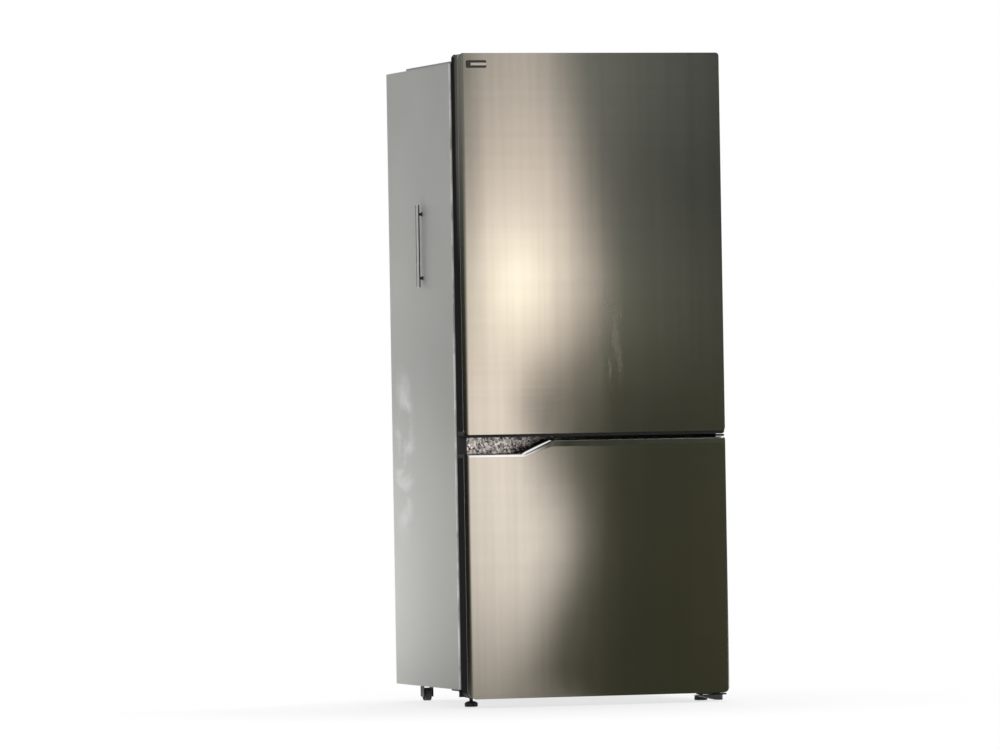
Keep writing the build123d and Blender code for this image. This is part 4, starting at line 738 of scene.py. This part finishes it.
def makeRoom(r):
    world = bpy.data.worlds.new("paleRoom")
    scene.world = world
    world.use_nodes = True
    back = world.node_tree.nodes["Background"]
    back.inputs["Color"].default_value = (1.0, 1.0, 1.0, 1.0)
    strength = spread(world.node_tree, seenDirectly(world.node_tree), 0.0, 1.0, r["fill"], 1.0)
    world.node_tree.links.new(strength, back.inputs["Strength"])

    shape = bmesh.new()
    bmesh.ops.create_grid(shape, x_segments=2, y_segments=2, size=r["floorSize"] / 2)
    bmesh.ops.translate(shape, verts=shape.verts, vec=(0.0, 0.0, -r["floorDrop"]))
    floor = makeObject(shape, "floor")
    finish = bpy.data.materials.new("paleFloor")
    finish.use_nodes = True
    tree = finish.node_tree
    tree.nodes.remove(tree.nodes["Principled BSDF"])
    matt = tree.nodes.new("ShaderNodeBsdfDiffuse")
    matt.inputs["Color"].default_value = (r["floorWhite"],) * 3 + (1.0,)
    white = tree.nodes.new("ShaderNodeEmission")
    x, y, _ = axes(tree)
    share = spread(tree, farFrom(tree, x, y), r["fadeFrom"], r["fadeTo"], r["whiteNear"], 1.0, True)
    mix = tree.nodes.new("ShaderNodeMixShader")
    tree.links.new(product(tree, seenDirectly(tree), share), mix.inputs[0])
    tree.links.new(matt.outputs[0], mix.inputs[1])
    tree.links.new(white.outputs[0], mix.inputs[2])
    tree.links.new(mix.outputs[0], tree.nodes["Material Output"].inputs["Surface"])
    floor.data.materials.append(finish)


# screen round the front and both sides, seen only in the gloss: a warm bright bay at the left of the doors,
# a dim room at the right, and a mat before the doors and beside the left wall that hides the white floor
screen = {
    "y": -1.25, "left": -2.2, "right": 2.2, "back": 2.8, "base": 0.004, "top": 2.8,
    "mat": -0.36, "leftMat": -0.40,
    "edge": (
        (0.0, 0.0), (0.06, 0.11), (0.17, 0.22), (0.25, 0.10), (0.29, 0.035),
        (0.32, 0.09), (0.36, 0.235), (0.41, 0.295), (0.50, 0.235), (0.66, 0.17),
    ),
    "soft": ((0.0, 0.16), (0.17, 0.20), (0.28, 0.09), (0.36, 0.20), (1.0, 0.20)),
    "softRange": (-0.5, 0.5, 1.0, 0.0),
    "peak": (
        (0.0, 0.27), (0.05, 0.56), (0.12, 0.92), (0.20, 0.935), (0.30, 0.99), (0.36, 0.82),
        (0.42, 0.86), (0.49, 0.77), (0.57, 0.69), (0.66, 0.61), (1.0, 0.42),
    ),
    "peakGain": 1.30,
    "leftFall": (-0.9, -0.12, 0.12, 1.0),
    "sideFall": (-0.10, -0.02, 0.92, 0.0), "sideFrom": (0.8, 1.6, 0.25, 1.0),
    "cornerAt": (-0.20, 1.90), "cornerReach": (0.08, 0.62, 0.42, 1.0),
    "rest": (
        (0.0, 0.046), (0.18, 0.052), (0.29, 0.046), (0.34, 0.120),
        (0.37, 0.17), (0.40, 0.20), (0.53, 0.13), (0.60, 0.20),
    ),
    "highFall": (0.30, 0.66, 1.0, 0.50), "lowRise": (0.56, 0.66, 1.0, 1.25), "fallFrom": (0.8, 1.0),
    "farLeft": (-1.5, -0.75, 1.0, 0.0), "lowShade": (1.25, 1.65, 0.9, 0.0),
    "hotAt": (0.058, 1.178), "hotSize": 0.19, "hotGain": 0.90,
    "hotTint": (1.0, 1.05, 0.84),
    "warmLow": (1.0, 0.95, 0.91), "warmHigh": (1.0, 0.885, 0.815), "warmFrom": (0.65, 0.9),
    "dimLow": (1.0, 1.05, 0.66),
    "dimHigh": (0.92, 1.0, 0.92),
    "dimFrom": (0.55, 1.4),
}


def added(tree, first, second):
    node = tree.nodes.new("ShaderNodeVectorMath")
    tree.links.new(first, node.inputs[0])
    tree.links.new(second, node.inputs[1])
    return node.outputs["Vector"]


def makeScreen(r):
    shape = bmesh.new()
    plan = ((r["left"], r["back"]), (r["left"], r["y"]), (r["right"], r["y"]), (r["right"], r["back"]))
    low = [shape.verts.new((x, y, r["base"])) for x, y in plan]
    edges = [shape.edges.new(pair) for pair in zip(low, low[1:])]
    grown = (
        (edges, (0.0, 0.0, r["top"])),
        (edges[1:2], (0.0, r["mat"] - r["y"], 0.0)),
        (edges[0:1], (r["leftMat"] - r["left"], 0.0, 0.0)),
    )
    for start, lift in grown:
        made = bmesh.ops.extrude_edge_only(shape, edges=start)
        moved = [v for v in made["geom"] if isinstance(v, bmesh.types.BMVert)]
        bmesh.ops.translate(shape, verts=moved, vec=lift)
    card = makeObject(shape, "doorScreen")
    finish = bpy.data.materials.new("screenGlow")
    finish.use_nodes = True
    tree = finish.node_tree
    tree.nodes.remove(tree.nodes["Principled BSDF"])

    x, _, z = axes(tree)
    height = spread(tree, z, 0.0, r["top"])
    past = sums(tree, "SUBTRACT", x, ramp(tree, height, r["edge"]))
    past = sums(tree, "DIVIDE", past, ramp(tree, height, r["soft"]))
    bay = product(tree, spread(tree, past, *r["softRange"], True), spread(tree, x, *r["leftFall"], True))
    bay = product(tree, bay, ramp(tree, height, r["peak"]), r["peakGain"])
    sideShade = product(tree, spread(tree, x, *r["sideFall"], True), spread(tree, z, *r["sideFrom"]))
    corner = spread(tree, farFrom(tree, x, z, r["cornerAt"]), *r["cornerReach"], True)
    shaded = product(tree, spread(tree, x, *r["farLeft"], True), spread(tree, z, *r["lowShade"]))
    lit = sums(tree, "SUBTRACT", 1.0, shaded)
    bay = product(tree, bay, sums(tree, "SUBTRACT", 1.0, sideShade), corner, lit)
    spot = spread(tree, farFrom(tree, x, z, r["hotAt"]), 0.0, r["hotSize"], r["hotGain"], 0.0, True)
    lowShare = spread(tree, x, *r["lowRise"])
    highShare = spread(tree, x, *r["highFall"])
    change = product(tree, sums(tree, "SUBTRACT", highShare, lowShare), spread(tree, z, *r["fallFrom"]))
    rest = product(tree, ramp(tree, height, r["rest"]), sums(tree, "ADD", lowShare, change), lit)

    warm = tint(tree, spread(tree, z, *r["warmFrom"]), r["warmLow"], r["warmHigh"])
    dim = tint(tree, spread(tree, z, *r["dimFrom"]), r["dimLow"], r["dimHigh"])
    bright = added(tree, tinted(tree, warm, bay), tinted(tree, r["hotTint"], spot))
    glow = tree.nodes.new("ShaderNodeEmission")
    tree.links.new(added(tree, bright, tinted(tree, dim, rest)), glow.inputs["Color"])
    tree.links.new(glow.outputs[0], tree.nodes["Material Output"].inputs["Surface"])
    card.data.materials.append(finish)
    card.visible_camera = False
    card.visible_diffuse = False
    card.visible_shadow = False
    card.visible_transmission = False


# soft boxes: place, aim, side in metres, power
softBoxes = {
    "leftBox": ((-1.2, 0.9, 0.28), (-0.37, 0.25, 0.3), 0.5, 9.5),
    "frontBox": ((0.9, -3.6, 2.9), (0.0, -0.3, 0.9), 2.2, 60.0),
    "backBox": ((0.8, 3.6, 2.6), (0.0, 0.3, 0.9), 2.4, 70.0),
    "rightBox": ((3.4, 0.6, 2.4), (0.37, 0.0, 0.9), 2.4, 60.0),
}


def makeSoftBoxes(boxes):
    for name, (place, aim, side, power) in boxes.items():
        data = bpy.data.lights.new(name, "AREA")
        data.shape = "SQUARE"
        data.size = side
        data.energy = power
        lamp = bpy.data.objects.new(name, data)
        scene.collection.objects.link(lamp)
        lamp.location = place
        lamp.rotation_euler = (Vector(aim) - Vector(place)).to_track_quat("-Z", "Y").to_euler()
        lamp.visible_glossy = False


makeRoom(room)
makeScreen(screen)
makeSoftBoxes(softBoxes)
print("room, screen and soft boxes set")
